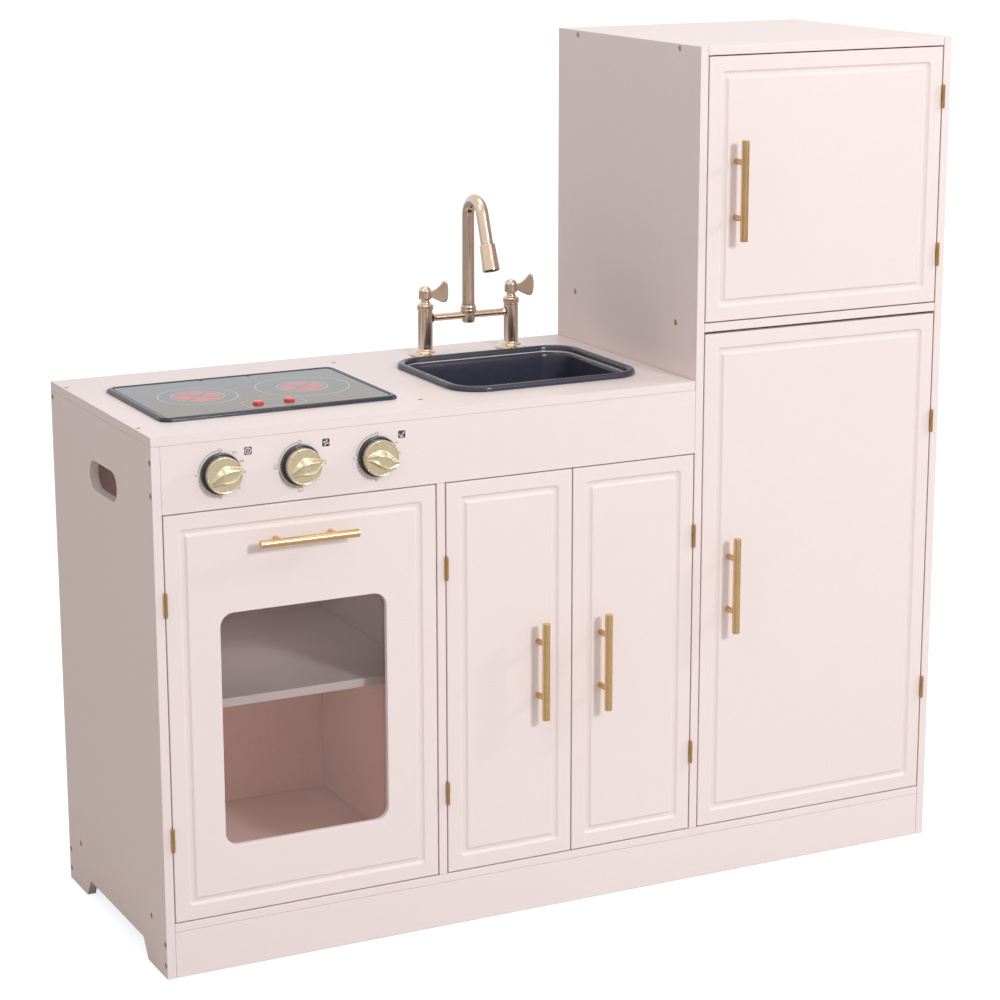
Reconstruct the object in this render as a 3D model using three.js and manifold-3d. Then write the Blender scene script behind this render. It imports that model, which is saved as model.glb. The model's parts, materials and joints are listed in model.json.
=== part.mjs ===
// Toy kitchen: a worktop unit with oven, cupboard, hob and sink beside a tall fridge and freezer.
// Millimetres. While it is built up, x runs from the left outer face, y from the front face to
// the back and z from the floor; the finished group is moved so that the middle of its base is 0.
import * as THREE from "three";
import { mergeVertices } from "three/addons/utils/BufferGeometryUtils.js";
import Module from "manifold-3d";

const wasm = await Module();
wasm.setup();

// Carcass: three equal bays between four upright boards.
const BOARD = 10;
const BAY = 320;
const WIDTH = 3 * BAY + 4 * BOARD;
const DEPTH = 340;
const GAP = 0.3; // left between fixed pieces that touch
const REVEAL = 1.5; // shown round each door
const PLINTH_HEIGHT = 53;
const BASE_TOP = PLINTH_HEIGHT + BOARD;
const DOOR_TOP = 522;
const WORKTOP_TOP = 608;
const WORKTOP_BOTTOM = WORKTOP_TOP - BOARD;
const FREEZER_FLOOR_BOTTOM = 664;
const FREEZER_FLOOR_TOP = FREEZER_FLOOR_BOTTOM + BOARD;
const HEIGHT = 988;
const BACK_THICKNESS = 3;
const BACK_FRONT = DEPTH - BACK_THICKNESS - GAP;
const SHELF_BOTTOM = 288;
const SHELF_SETBACK = 40;

const DIVIDER_LEFT = BOARD + BAY;
const DIVIDER_RIGHT = DIVIDER_LEFT + BOARD;
const FRIDGE_LEFT = DIVIDER_RIGHT + BAY;
const FRIDGE_INSIDE = FRIDGE_LEFT + BOARD;
const RIGHT_INSIDE = WIDTH - BOARD;
const CUPBOARD_MIDDLE = (DIVIDER_RIGHT + FRIDGE_LEFT) / 2;

// Cut-outs of the side panels: the feet, and the hand hole of the left one.
const FOOT_LENGTH = 63;
const FOOT_SLOPE = 15;
const FOOT_HEIGHT = 22;
const HAND_HOLE = { y: 161, z: 528, length: 92, height: 34 };

// Doors: boards with a routed line near the edge. Upper door edges follow from the boards.
const GROOVE_INSET = 16.5;
const GROOVE_WIDTH = 9;
const GROOVE_DEPTH = 2.2;
const GROOVE_RADIUS = 4;
const FRIDGE_DOOR_TOP = FREEZER_FLOOR_BOTTOM - 3;
const WINDOW = { width: 195, bottom: 142.5, top: 407, radius: 15 };
const WINDOW_LAP = 6;
const WINDOW_THICKNESS = 2.5;
const WINDOW_FRONT = 6;

// Bar handles on two posts.
const BAR_RADIUS = 4.5;
const BAR_LENGTH = 115;
const BAR_REACH = 19.5;
const POST_RADIUS = 3.4;
const POST_SPACING = 64;

// Butt hinges: a pin in front of the gap, a leaf on the frame and one let into the door's edge.
const HINGE_HEIGHT = 26;
const HINGE_PIN_FORWARD = 2.7;
const KNUCKLE_RADIUS = 2.3;
const PIN_RADIUS = 1.1;
const KNUCKLE_BORE = 1.5;
const MIDDLE_KNUCKLE = 8.4;
const FRAME_LEAF = 0.6;
const DOOR_LEAF = 0.8;
const LEAF_DEPTH = 9;
const PIN_HEAD = 1;
const HINGE_SIDES = 10;

// Knobs on the control panel.
const KNOB_X = [76.8, 168, 258.3];
const KNOB_Z = 562;
const KNOB_TURN = [15, 11.5, -21];
const SKIRT_RADIUS = 22.5;
const SKIRT_THICKNESS = 5.2;
const KNOB_RADIUS = 20;
const KNOB_FACE = 14.2;
const GRIP_HEIGHT = 5.5;
const GRIP_BEVEL = 1;
const SHAFT_END = 16;
const SHAFT_RADIUS = 3;
const SHAFT_HOLE = 3.6;

// Hob: a tray with a raised edge round a plate with two push buttons.
const HOB = { x: 175.9, y: 160, width: 279.8, depth: 194, radius: 12 };
const HOB_EDGE = 7.5;
const HOB_HEIGHT = 4.2;
const HOB_FLOOR = 1.2;
const PLATE_THICKNESS = 1.8;
const BUTTON_X = [159.7, 196.5];
const BUTTON_Y = 97;
const BUTTON_RADIUS = 6;
const BUTTON_HOLE = 6.4;
const BUTTON_TOP = 614.8;
const BUTTON_STEM = 2.5;
const MODULE = { width: 76, depth: 44, height: 27 };
const MODULE_HOLE = { width: 60, depth: 20 };

// Sink: a bowl with a rolled rim, hung in the worktop.
const SINK = { x: 506.5, y: 155.5, width: 240, depth: 203, radius: 40 };
const RIM_WIDTH = 12;
const RIM_HEIGHT = 6;
const BOWL_WALL = 2;
const BOWL_DEPTH = 76;
const BOWL_TAPER = 6;

// Bridge tap.
const TAP = { x: 511, y: 290, spacing: 115.4 };
const FLANGE_RADIUS = 19.5;
const COLUMN_RADIUS = 8.8;
const COLUMN_RING = 10;
const NECK_RADIUS = 5.2;
const COLUMN_TOP = 679;
const BRIDGE_Z = 652.5;
const BRIDGE_RADIUS = 4.4;
const BOSS_RADIUS = 7.8;
const COLLAR_RADIUS = 9.8;
const COLLAR_TOP = 666;
const SPOUT_RADIUS = 7.5;
const SPOUT_BEND = 20;
const SPOUT_BEND_Z = 773.5;
const SPOUT_LEAN = THREE.MathUtils.degToRad(20);
const SPOUT_ARM = 37;
const SPRAY_LENGTH = 35;
const SPRAY_RADIUS = 10.4;
const HUB_RADIUS = 7.8;
const HUB_HEIGHT = 15.6;
const WING_REACH = 28;
const WING_HALF_THICKNESS = 2;
const LEVER_TURN = -30;

const DOORS = [
  { name: "oven", left: BOARD, right: DIVIDER_LEFT, top: DOOR_TOP, hinge: "left" },
  {
    name: "left_cupboard",
    left: DIVIDER_RIGHT,
    right: CUPBOARD_MIDDLE + REVEAL / 2,
    top: DOOR_TOP,
    hinge: "left",
  },
  {
    name: "right_cupboard",
    left: CUPBOARD_MIDDLE - REVEAL / 2,
    right: FRIDGE_LEFT,
    top: DOOR_TOP,
    hinge: "right",
  },
  { name: "fridge", left: FRIDGE_INSIDE, right: RIGHT_INSIDE, top: FRIDGE_DOOR_TOP, hinge: "right" },
  {
    name: "freezer",
    left: FRIDGE_INSIDE,
    right: RIGHT_INSIDE,
    bottom: FREEZER_FLOOR_TOP + REVEAL,
    top: HEIGHT - BOARD - REVEAL,
    hinge: "right",
  },
];
const HINGE_HEIGHTS = {
  oven: [161, 425.5],
  left_cupboard: [161, 425.5],
  right_cupboard: [161, 425.5],
  fridge: [194, 530.5],
  freezer: [732.5, 919],
};
const HANDLE_INSET = { left_cupboard: 42.5, right_cupboard: 37, fridge: 36.5, freezer: 37 };
const OVEN_HANDLE_Z = 484;

const PAINT = new THREE.MeshStandardMaterial({
  name: "painted_board",
  color: 0xf3dfdb,
  roughness: 0.55,
});
const BACKING = new THREE.MeshStandardMaterial({
  name: "back_board",
  color: 0xf0dbd6,
  roughness: 0.7,
});
const GOLD = new THREE.MeshStandardMaterial({
  name: "handle_metal",
  color: 0xc8a878,
  roughness: 0.35,
  metalness: 0.9,
});
const BRASS = new THREE.MeshStandardMaterial({
  name: "hinge_brass",
  color: 0xc9a468,
  roughness: 0.35,
  metalness: 0.9,
});
const TAP_GOLD = new THREE.MeshStandardMaterial({
  name: "tap_plastic",
  color: 0xcdb9a0,
  roughness: 0.3,
  metalness: 0.8,
});
const KNOB_GOLD = new THREE.MeshStandardMaterial({
  name: "knob_plastic",
  color: 0xcdbf98,
  roughness: 0.35,
  metalness: 0.6,
});
const BLACK = new THREE.MeshStandardMaterial({
  name: "black_plastic",
  color: 0x26262e,
  roughness: 0.25,
});
const PLATE = new THREE.MeshStandardMaterial({
  name: "hob_plate",
  color: 0x80776c,
  roughness: 0.15,
});
const RED = new THREE.MeshStandardMaterial({
  name: "button_plastic",
  color: 0xe8474c,
  roughness: 0.3,
});
const CLEAR = new THREE.MeshStandardMaterial({
  name: "clear_acrylic",
  color: 0xf4f4f6,
  roughness: 0.05,
  transparent: true,
  opacity: 0.3,
});

const kitchen = new THREE.Group();
kitchen.name = "toy_kitchen";

function add(name, geometry, material) {
  const mesh = new THREE.Mesh(geometry, material);
  mesh.name = name;
  kitchen.add(mesh);
}

// A box between two corners.
function box(low, high) {
  const size = high.map((value, i) => value - low[i]);
  const middle = high.map((value, i) => (value + low[i]) / 2);
  return new THREE.BoxGeometry(...size).translate(...middle);
}

// An outline in x and y, from one height to another.
function upright(shape, bottom, top, curveSegments = 6) {
  const options = { depth: top - bottom, bevelEnabled: false, curveSegments };
  return new THREE.ExtrudeGeometry(shape, options).translate(0, 0, bottom);
}

// An outline in y and z, across the object.
function across(shape, left, right, curveSegments = 6) {
  const turn = new THREE.Matrix4().makeBasis(
    new THREE.Vector3(0, 1, 0),
    new THREE.Vector3(0, 0, 1),
    new THREE.Vector3(1, 0, 0),
  );
  return upright(shape, left, right, curveSegments).applyMatrix4(turn);
}

// Turns a geometry built upwards from the x, y plane so that it stands out to the front.
function facingFront(geometry) {
  const turn = new THREE.Matrix4().makeBasis(
    new THREE.Vector3(1, 0, 0),
    new THREE.Vector3(0, 0, 1),
    new THREE.Vector3(0, -1, 0),
  );
  return geometry.applyMatrix4(turn);
}

// An outline in x and z, from the front towards the back.
function frontal(shape, front, back, curveSegments = 6) {
  return facingFront(upright(shape, -back, -front, curveSegments));
}

function polygon(points) {
  return new THREE.Shape(points.map(([x, y]) => new THREE.Vector2(x, y)));
}

// A rectangle with rounded corners, by its middle and its full sizes.
function rounded(x, y, width, height, radius, PathType = THREE.Shape) {
  const outline = new PathType();
  const right = x + width / 2 - radius;
  const left = x - width / 2 + radius;
  const up = y + height / 2 - radius;
  const low = y - height / 2 + radius;
  outline.moveTo(left, low - radius);
  outline.lineTo(right, low - radius);
  outline.absarc(right, low, radius, -Math.PI / 2, 0);
  outline.lineTo(right + radius, up);
  outline.absarc(right, up, radius, 0, Math.PI / 2);
  outline.lineTo(left, up + radius);
  outline.absarc(left, up, radius, Math.PI / 2, Math.PI);
  outline.lineTo(left - radius, low);
  outline.absarc(left, low, radius, Math.PI, 1.5 * Math.PI);
  return outline;
}

function circle(x, y, radius) {
  const path = new THREE.Path();
  path.absarc(x, y, radius, 0, 2 * Math.PI);
  return path;
}

// A solid turned about an upright axis, from [radius, height] pairs that start and end on it.
function turned(profile, segments = 28) {
  const points = profile.map(([radius, height]) => new THREE.Vector2(radius, height));
  return new THREE.LatheGeometry(points, segments).rotateX(Math.PI / 2);
}

function rod(radius, bottom, top, segments = 20) {
  return turned([[0, bottom], [radius, bottom], [radius, top], [0, top]], segments);
}

// The same rod lying along y, from the front towards the back.
function rodAlongY(radius, front, back, segments = 20) {
  return rod(radius, front, back, segments).rotateX(-Math.PI / 2);
}

function solid(geometry) {
  const bare = new THREE.BufferGeometry();
  const source = geometry.index ? geometry.toNonIndexed() : geometry;
  bare.setAttribute("position", source.getAttribute("position"));
  const merged = mergeVertices(bare, 1e-3);
  const mesh = new wasm.Mesh({
    numProp: 3,
    vertProperties: new Float32Array(merged.attributes.position.array),
    triVerts: new Uint32Array(merged.index.array),
  });
  return new wasm.Manifold(mesh);
}

function geometryOf(body) {
  const mesh = body.getMesh();
  const positions = new Float32Array(mesh.numVert * 3);
  for (let i = 0; i < mesh.numVert; i += 1) {
    positions.set(mesh.vertProperties.subarray(i * mesh.numProp, i * mesh.numProp + 3), i * 3);
  }
  const geometry = new THREE.BufferGeometry();
  geometry.setAttribute("position", new THREE.BufferAttribute(positions, 3));
  geometry.setIndex(new THREE.BufferAttribute(new Uint32Array(mesh.triVerts), 1));
  geometry.computeVertexNormals();
  return geometry;
}

function join(...pieces) {
  return geometryOf(wasm.Manifold.union(pieces.map(solid)));
}

function cut(whole, ...tools) {
  return geometryOf(solid(whole).subtract(wasm.Manifold.union(tools.map(solid))));
}

// Outline of a side panel: two feet with slanted inner ends.
function sidePanelOutline(top) {
  return polygon([
    [0, 0],
    [FOOT_LENGTH, 0],
    [FOOT_LENGTH + FOOT_SLOPE, FOOT_HEIGHT],
    [DEPTH - FOOT_LENGTH - FOOT_SLOPE, FOOT_HEIGHT],
    [DEPTH - FOOT_LENGTH, 0],
    [DEPTH, 0],
    [DEPTH, top],
    [0, top],
  ]);
}

function addUprights() {
  const left = sidePanelOutline(WORKTOP_BOTTOM - GAP);
  const { y, z, length, height } = HAND_HOLE;
  left.holes.push(rounded(y, z, length, height, height / 2 - 0.5, THREE.Path));
  add("left_side_panel", across(left, 0, BOARD, 16), PAINT);
  add("fridge_right_panel", across(sidePanelOutline(HEIGHT), RIGHT_INSIDE, WIDTH), PAINT);

  const divider = polygon([
    [0, BASE_TOP + GAP],
    [BACK_FRONT - GAP, BASE_TOP + GAP],
    [BACK_FRONT - GAP, WORKTOP_BOTTOM - GAP],
    [BOARD + GAP, WORKTOP_BOTTOM - GAP],
    [BOARD + GAP, DOOR_TOP + REVEAL - GAP],
    [0, DOOR_TOP + REVEAL - GAP],
  ]);
  add("divider_panel", across(divider, DIVIDER_LEFT, DIVIDER_RIGHT), PAINT);
  add("fridge_left_panel", box([FRIDGE_LEFT, 0, BASE_TOP + GAP], [FRIDGE_INSIDE, DEPTH, HEIGHT]), PAINT);
}

function addLevelBoards() {
  const inside = BOARD + GAP;
  const outside = RIGHT_INSIDE - GAP;
  add("base_panel", box([inside, 0, PLINTH_HEIGHT + GAP], [outside, DEPTH, BASE_TOP]), PAINT);
  add("front_plinth", box([inside, 0, 0], [outside, BOARD, PLINTH_HEIGHT]), PAINT);
  add("rear_plinth", box([inside, DEPTH - BOARD, 0], [outside, DEPTH, PLINTH_HEIGHT]), PAINT);

  const fridgeLow = [FRIDGE_INSIDE + GAP, 0, FREEZER_FLOOR_BOTTOM];
  const fridgeHigh = [RIGHT_INSIDE - GAP, BACK_FRONT - GAP, FREEZER_FLOOR_TOP];
  add("freezer_floor", box(fridgeLow, fridgeHigh), PAINT);
  const topLow = [FRIDGE_INSIDE + GAP, 0, HEIGHT - BOARD];
  add("fridge_top_panel", box(topLow, [RIGHT_INSIDE - GAP, DEPTH, HEIGHT]), PAINT);

  const shelfHigh = [DIVIDER_LEFT - GAP, BACK_FRONT - GAP, SHELF_BOTTOM + BOARD];
  add("oven_shelf", box([inside, SHELF_SETBACK, SHELF_BOTTOM], shelfHigh), PAINT);
}

function addBacks() {
  const bottom = BASE_TOP + GAP;
  const unitHigh = [FRIDGE_LEFT - GAP, DEPTH, WORKTOP_BOTTOM - GAP];
  add("cabinet_back", box([BOARD + GAP, DEPTH - BACK_THICKNESS, bottom], unitHigh), BACKING);
  const fridgeLow = [FRIDGE_INSIDE + GAP, DEPTH - BACK_THICKNESS, bottom];
  add("fridge_back", box(fridgeLow, [RIGHT_INSIDE - GAP, DEPTH, HEIGHT - BOARD - GAP]), BACKING);
}

// Width and depth of the bowl where it passes through the worktop.
function bowlSize(inset) {
  return [SINK.width - 2 * inset, SINK.depth - 2 * inset, SINK.radius - inset];
}

function addWorktop() {
  const outline = rounded(FRIDGE_LEFT / 2, DEPTH / 2, FRIDGE_LEFT - 2 * GAP, DEPTH, 0.5);
  const [width, depth, radius] = bowlSize(RIM_WIDTH - 2);
  outline.holes.push(rounded(SINK.x, SINK.y, width, depth, radius, THREE.Path));
  const { width: holeWidth, depth: holeDepth } = MODULE_HOLE;
  outline.holes.push(rounded(HOB.x, BUTTON_Y, holeWidth, holeDepth, 2, THREE.Path));
  add("worktop", upright(outline, WORKTOP_BOTTOM, WORKTOP_TOP).translate(-GAP, 0, 0), PAINT);
}

function addControlPanel() {
  const low = DOOR_TOP + REVEAL;
  const outline = polygon([
    [BOARD + GAP, low],
    [FRIDGE_LEFT - GAP, low],
    [FRIDGE_LEFT - GAP, WORKTOP_BOTTOM - GAP],
    [BOARD + GAP, WORKTOP_BOTTOM - GAP],
  ]);
  KNOB_X.forEach((x) => outline.holes.push(circle(x, KNOB_Z, SHAFT_HOLE)));
  add("control_panel", frontal(outline, 0, BOARD, 10), PAINT);
}

// The ridge across a knob's face: a wave that swells on one side and ends in a point.
function gripOutline() {
  const grip = new THREE.Shape();
  grip.moveTo(-15, -5.6);
  grip.bezierCurveTo(-10, 4, -4, 8.5, 3, 6.5);
  grip.bezierCurveTo(9, 4.5, 13, 1, 20.5, -0.2);
  grip.bezierCurveTo(16, -6, 11, -9.5, 5, -9.6);
  grip.bezierCurveTo(0, -9, -6, -5, -15, -5.6);
  return grip;
}

function addKnobs() {
  ["knob_left", "knob_middle", "knob_right"].forEach((name, i) => {
    const grip = new THREE.ExtrudeGeometry(gripOutline(), {
      depth: GRIP_HEIGHT - GRIP_BEVEL,
      bevelThickness: GRIP_BEVEL,
      bevelSize: GRIP_BEVEL,
      bevelOffset: -GRIP_BEVEL,
      bevelSegments: 2,
      curveSegments: 8,
    });
    facingFront(grip).translate(0, -KNOB_FACE + GRIP_BEVEL, 0);
    const body = turned([
      [0, -KNOB_FACE],
      [KNOB_RADIUS - 2, -KNOB_FACE],
      [KNOB_RADIUS, 1.5 - KNOB_FACE],
      [KNOB_RADIUS, -SKIRT_THICKNESS],
      [SKIRT_RADIUS - 1, -SKIRT_THICKNESS],
      [SKIRT_RADIUS, 1 - SKIRT_THICKNESS],
      [SKIRT_RADIUS, -GAP],
      [SHAFT_RADIUS, -GAP],
      [SHAFT_RADIUS, SHAFT_END],
      [0, SHAFT_END],
    ]);
    const knob = join(body.rotateX(-Math.PI / 2), grip);
    knob.rotateY(THREE.MathUtils.degToRad(-KNOB_TURN[i]));
    add(name, knob.translate(KNOB_X[i], 0, KNOB_Z), KNOB_GOLD);
  });
}

function doorBox(door) {
  const low = [door.left + REVEAL, 0, door.bottom ?? BASE_TOP + REVEAL];
  return { low, high: [door.right - REVEAL, BOARD, door.top] };
}

// The routed line: a ring inset from the door's edge.
function grooveRing({ low, high }) {
  const x = (low[0] + high[0]) / 2;
  const z = (low[2] + high[2]) / 2;
  const width = high[0] - low[0] - 2 * GROOVE_INSET;
  const height = high[2] - low[2] - 2 * GROOVE_INSET;
  const ring = rounded(x, z, width, height, GROOVE_RADIUS);
  const inner = [width - 2 * GROOVE_WIDTH, height - 2 * GROOVE_WIDTH];
  ring.holes.push(rounded(x, z, ...inner, 1, THREE.Path));
  return frontal(ring, -1, GROOVE_DEPTH, 3);
}

function windowCuts({ low, high }) {
  const x = (low[0] + high[0]) / 2;
  const z = (WINDOW.bottom + WINDOW.top) / 2;
  const height = WINDOW.top - WINDOW.bottom;
  const opening = rounded(x, z, WINDOW.width, height, WINDOW.radius);
  const lap = 2 * (WINDOW_LAP + GAP);
  const rebate = rounded(x, z, WINDOW.width + lap, height + lap, WINDOW.radius + WINDOW_LAP);
  const pane = [WINDOW.width + 2 * WINDOW_LAP, height + 2 * WINDOW_LAP];
  const paneOutline = rounded(x, z, ...pane, WINDOW.radius + WINDOW_LAP);
  return {
    cuts: [frontal(opening, -1, BOARD + 1), frontal(rebate, WINDOW_FRONT, BOARD + 1)],
    pane: frontal(paneOutline, WINDOW_FRONT + GAP, WINDOW_FRONT + GAP + WINDOW_THICKNESS),
  };
}

// Recesses in the hinged edge that take the door leaves.
function hingeRecesses(door, { low, high }) {
  const depth = DOOR_LEAF + GAP;
  const [near, far] = door.hinge === "left" ? [low[0] - 1, low[0] + depth] : [high[0] - depth, high[0] + 1];
  return HINGE_HEIGHTS[door.name].map((z) => {
    const half = HINGE_HEIGHT / 2 + GAP;
    return box([near, -1, z - half], [far, BOARD + 1, z + half]);
  });
}

function addDoors() {
  DOORS.forEach((door) => {
    const extent = doorBox(door);
    const tools = [grooveRing(extent), ...hingeRecesses(door, extent)];
    if (door.name === "oven") {
      const { cuts, pane } = windowCuts(extent);
      tools.push(...cuts);
      add("oven_window", pane, CLEAR);
    }
    add(door.name + "_door", cut(box(extent.low, extent.high), ...tools), PAINT);
    addHandle(door, extent);
    addHinges(door);
  });
}

// A bar with two posts, standing upright beside the door's free edge; the oven's lies level.
function addHandle(door, { low, high }) {
  const bar = rod(BAR_RADIUS, -BAR_LENGTH / 2, BAR_LENGTH / 2, 16).translate(0, -BAR_REACH, 0);
  const posts = [-1, 1].map((end) => {
    const post = rodAlongY(POST_RADIUS, -BAR_REACH, -GAP, 12);
    return post.translate(0, 0, (end * POST_SPACING) / 2);
  });
  const handle = join(bar, ...posts);
  if (door.name === "oven") {
    handle.rotateY(Math.PI / 2).translate((low[0] + high[0]) / 2, 0, OVEN_HANDLE_Z);
  } else {
    const inset = HANDLE_INSET[door.name];
    const x = door.hinge === "left" ? high[0] - inset : low[0] + inset;
    handle.translate(x, 0, (low[2] + high[2]) / 2);
  }
  add(door.name + "_handle", handle, GOLD);
}

// Leaf with the middle knuckle, the pin and its two heads. x = 0 is the middle of the gap and
// the door lies on the +x side.
function frameLeaf() {
  const half = HINGE_HEIGHT / 2;
  const leafLeft = GAP - REVEAL / 2;
  const knuckle = rod(KNUCKLE_RADIUS, -MIDDLE_KNUCKLE / 2, MIDDLE_KNUCKLE / 2, HINGE_SIDES);
  const pin = turned(
    [
      [0, -half - GAP - PIN_HEAD],
      [KNUCKLE_RADIUS - 0.7, -half - GAP - PIN_HEAD],
      [KNUCKLE_RADIUS - 0.3, -half - GAP],
      [PIN_RADIUS, -half - GAP],
      [PIN_RADIUS, half + GAP],
      [KNUCKLE_RADIUS - 0.3, half + GAP],
      [KNUCKLE_RADIUS - 0.7, half + GAP + PIN_HEAD],
      [0, half + GAP + PIN_HEAD],
    ],
    HINGE_SIDES,
  );
  const forward = [0, -HINGE_PIN_FORWARD, 0];
  const plate = box([leafLeft, 0, -half], [leafLeft + FRAME_LEAF, LEAF_DEPTH, half]);
  const tab = box(
    [leafLeft, -HINGE_PIN_FORWARD, -MIDDLE_KNUCKLE / 2],
    [leafLeft + FRAME_LEAF, 0.5, MIDDLE_KNUCKLE / 2],
  );
  return join(knuckle.translate(...forward), pin.translate(...forward), plate, tab);
}

// Leaf in the door's edge, with the two outer knuckles round the pin.
function doorLeaf() {
  const half = HINGE_HEIGHT / 2;
  const left = GAP - REVEAL / 2 + FRAME_LEAF + GAP;
  const start = MIDDLE_KNUCKLE / 2 + GAP;
  const plate = box([left, 0.2, -half], [left + DOOR_LEAF, LEAF_DEPTH, half]);
  const knuckles = [-1, 1].flatMap((end) => {
    const low = end > 0 ? start : -half;
    const high = end > 0 ? half : -start;
    const tab = box([left, -HINGE_PIN_FORWARD, low], [left + DOOR_LEAF, 0.5, high]);
    const ring = rod(KNUCKLE_RADIUS, low, high, HINGE_SIDES).translate(0, -HINGE_PIN_FORWARD, 0);
    return [tab, ring];
  });
  const bore = rod(KNUCKLE_BORE, -half - 1, half + 1, HINGE_SIDES).translate(0, -HINGE_PIN_FORWARD, 0);
  return cut(join(plate, ...knuckles), bore);
}

function addHinges(door) {
  const leftHung = door.hinge === "left";
  const x = leftHung ? door.left + REVEAL / 2 : door.right - REVEAL / 2;
  ["lower", "upper"].forEach((place, i) => {
    const halves = { frame: frameLeaf(), door: doorLeaf() };
    Object.entries(halves).forEach(([half, leaf]) => {
      if (!leftHung) leaf.rotateY(Math.PI);
      leaf.translate(x, 0, HINGE_HEIGHTS[door.name][i]);
      add(`${door.name}_hinge_${place}_${half}`, leaf, BRASS);
    });
  });
}

function addHob() {
  const { x, y, width, depth, radius } = HOB;
  const bottom = WORKTOP_TOP + GAP;
  const top = bottom + HOB_HEIGHT;
  const floor = bottom + HOB_FLOOR;
  const base = upright(rounded(x, y, width, depth, radius), bottom, top - 1.4);
  const crown = upright(rounded(x, y, width - 3, depth - 3, radius - 1.5), bottom, top);
  const inside = rounded(x, y, width - 2 * HOB_EDGE, depth - 2 * HOB_EDGE, radius - 5);
  const wells = BUTTON_X.map((bx) => rod(BUTTON_HOLE, bottom - 1, top, 24).translate(bx, BUTTON_Y, 0));
  add("hob_tray", cut(join(base, crown), upright(inside, floor, top + 1), ...wells), BLACK);

  const edge = HOB_EDGE + GAP;
  const plate = rounded(x, y, width - 2 * edge, depth - 2 * edge, radius - 5.3);
  BUTTON_X.forEach((bx) => plate.holes.push(circle(bx, BUTTON_Y, BUTTON_HOLE)));
  add("hob_plate", upright(plate, floor + GAP, floor + GAP + PLATE_THICKNESS), PLATE);

  const moduleTop = WORKTOP_BOTTOM - GAP;
  const low = [x - MODULE.width / 2, BUTTON_Y - MODULE.depth / 2, moduleTop - MODULE.height];
  const high = [x + MODULE.width / 2, BUTTON_Y + MODULE.depth / 2, moduleTop];
  add("hob_module", box(low, high), BLACK);

  ["hob_button_left", "hob_button_right"].forEach((name, i) => {
    const button = turned([
      [0, moduleTop + 3],
      [BUTTON_STEM, moduleTop + 3],
      [BUTTON_STEM, bottom + 0.8],
      [BUTTON_RADIUS, bottom + 0.8],
      [BUTTON_RADIUS, BUTTON_TOP - 1],
      [BUTTON_RADIUS - 1, BUTTON_TOP],
      [0, BUTTON_TOP],
    ], 24);
    add(name, button.translate(BUTTON_X[i], BUTTON_Y, 0), RED);
  });
}

// The bowl narrows downwards: a rounded box scaled in towards its floor.
function bowlBody(inset, bottom, top) {
  const [width, depth, radius] = bowlSize(inset);
  const body = upright(rounded(0, 0, width, depth, radius), bottom, top);
  const points = body.getAttribute("position");
  for (let i = 0; i < points.count; i += 1) {
    const low = points.getZ(i) < (bottom + top) / 2;
    const shrink = low ? BOWL_TAPER : 0;
    points.setX(i, points.getX(i) * (1 - (2 * shrink) / width));
    points.setY(i, points.getY(i) * (1 - (2 * shrink) / depth));
  }
  return body.translate(SINK.x, SINK.y, 0);
}

function addSink() {
  const { x, y, width, depth, radius } = SINK;
  const seat = WORKTOP_TOP + GAP;
  const rimTop = seat + RIM_HEIGHT;
  const foot = upright(rounded(x, y, width, depth, radius), seat, rimTop - 2);
  const crown = upright(rounded(x, y, width - 4, depth - 4, radius - 2), seat, rimTop);
  const bottom = rimTop - BOWL_DEPTH;
  const outside = bowlBody(RIM_WIDTH, bottom - BOWL_WALL, seat + 1);
  const inside = bowlBody(RIM_WIDTH + BOWL_WALL, bottom, rimTop + 1);
  add("sink_basin", cut(join(foot, crown, outside), inside), BLACK);
}

function addTapColumns() {
  const base = WORKTOP_TOP + GAP;
  [-1, 1].forEach((end) => {
    const column = turned([
      [0, base],
      [FLANGE_RADIUS, base],
      [FLANGE_RADIUS, base + 1.5],
      [COLUMN_RADIUS + 3, base + 4],
      [COLUMN_RADIUS, base + 6.5],
      [COLUMN_RADIUS, COLUMN_TOP - 16],
      [COLUMN_RING, COLUMN_TOP - 15],
      [COLUMN_RING, COLUMN_TOP - 9],
      [NECK_RADIUS + 1.5, COLUMN_TOP - 7.5],
      [NECK_RADIUS, COLUMN_TOP - 6],
      [NECK_RADIUS, COLUMN_TOP],
      [0, COLUMN_TOP],
    ]);
    const name = end < 0 ? "tap_column_left" : "tap_column_right";
    add(name, column.translate(TAP.x + (end * TAP.spacing) / 2, TAP.y, 0), TAP_GOLD);
  });
}

function addTapBridge() {
  const reach = TAP.spacing / 2 - COLUMN_RADIUS - 2 * GAP;
  const tube = rod(BRIDGE_RADIUS, -reach, reach).rotateY(Math.PI / 2).translate(0, 0, BRIDGE_Z);
  const boss = turned([
    [0, BRIDGE_Z - 10],
    [BOSS_RADIUS - 2.5, BRIDGE_Z - 9.4],
    [BOSS_RADIUS, BRIDGE_Z - 7],
    [BOSS_RADIUS, BRIDGE_Z + 3.5],
    [COLLAR_RADIUS, BRIDGE_Z + 4.5],
    [COLLAR_RADIUS, COLLAR_TOP - 5],
    [COLLAR_RADIUS - 1.4, COLLAR_TOP - 2.4],
    [COLLAR_RADIUS - 1.4, COLLAR_TOP],
    [0, COLLAR_TOP],
  ]);
  add("tap_bridge", join(tube, boss).translate(TAP.x, TAP.y, 0), TAP_GOLD);
}

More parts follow.
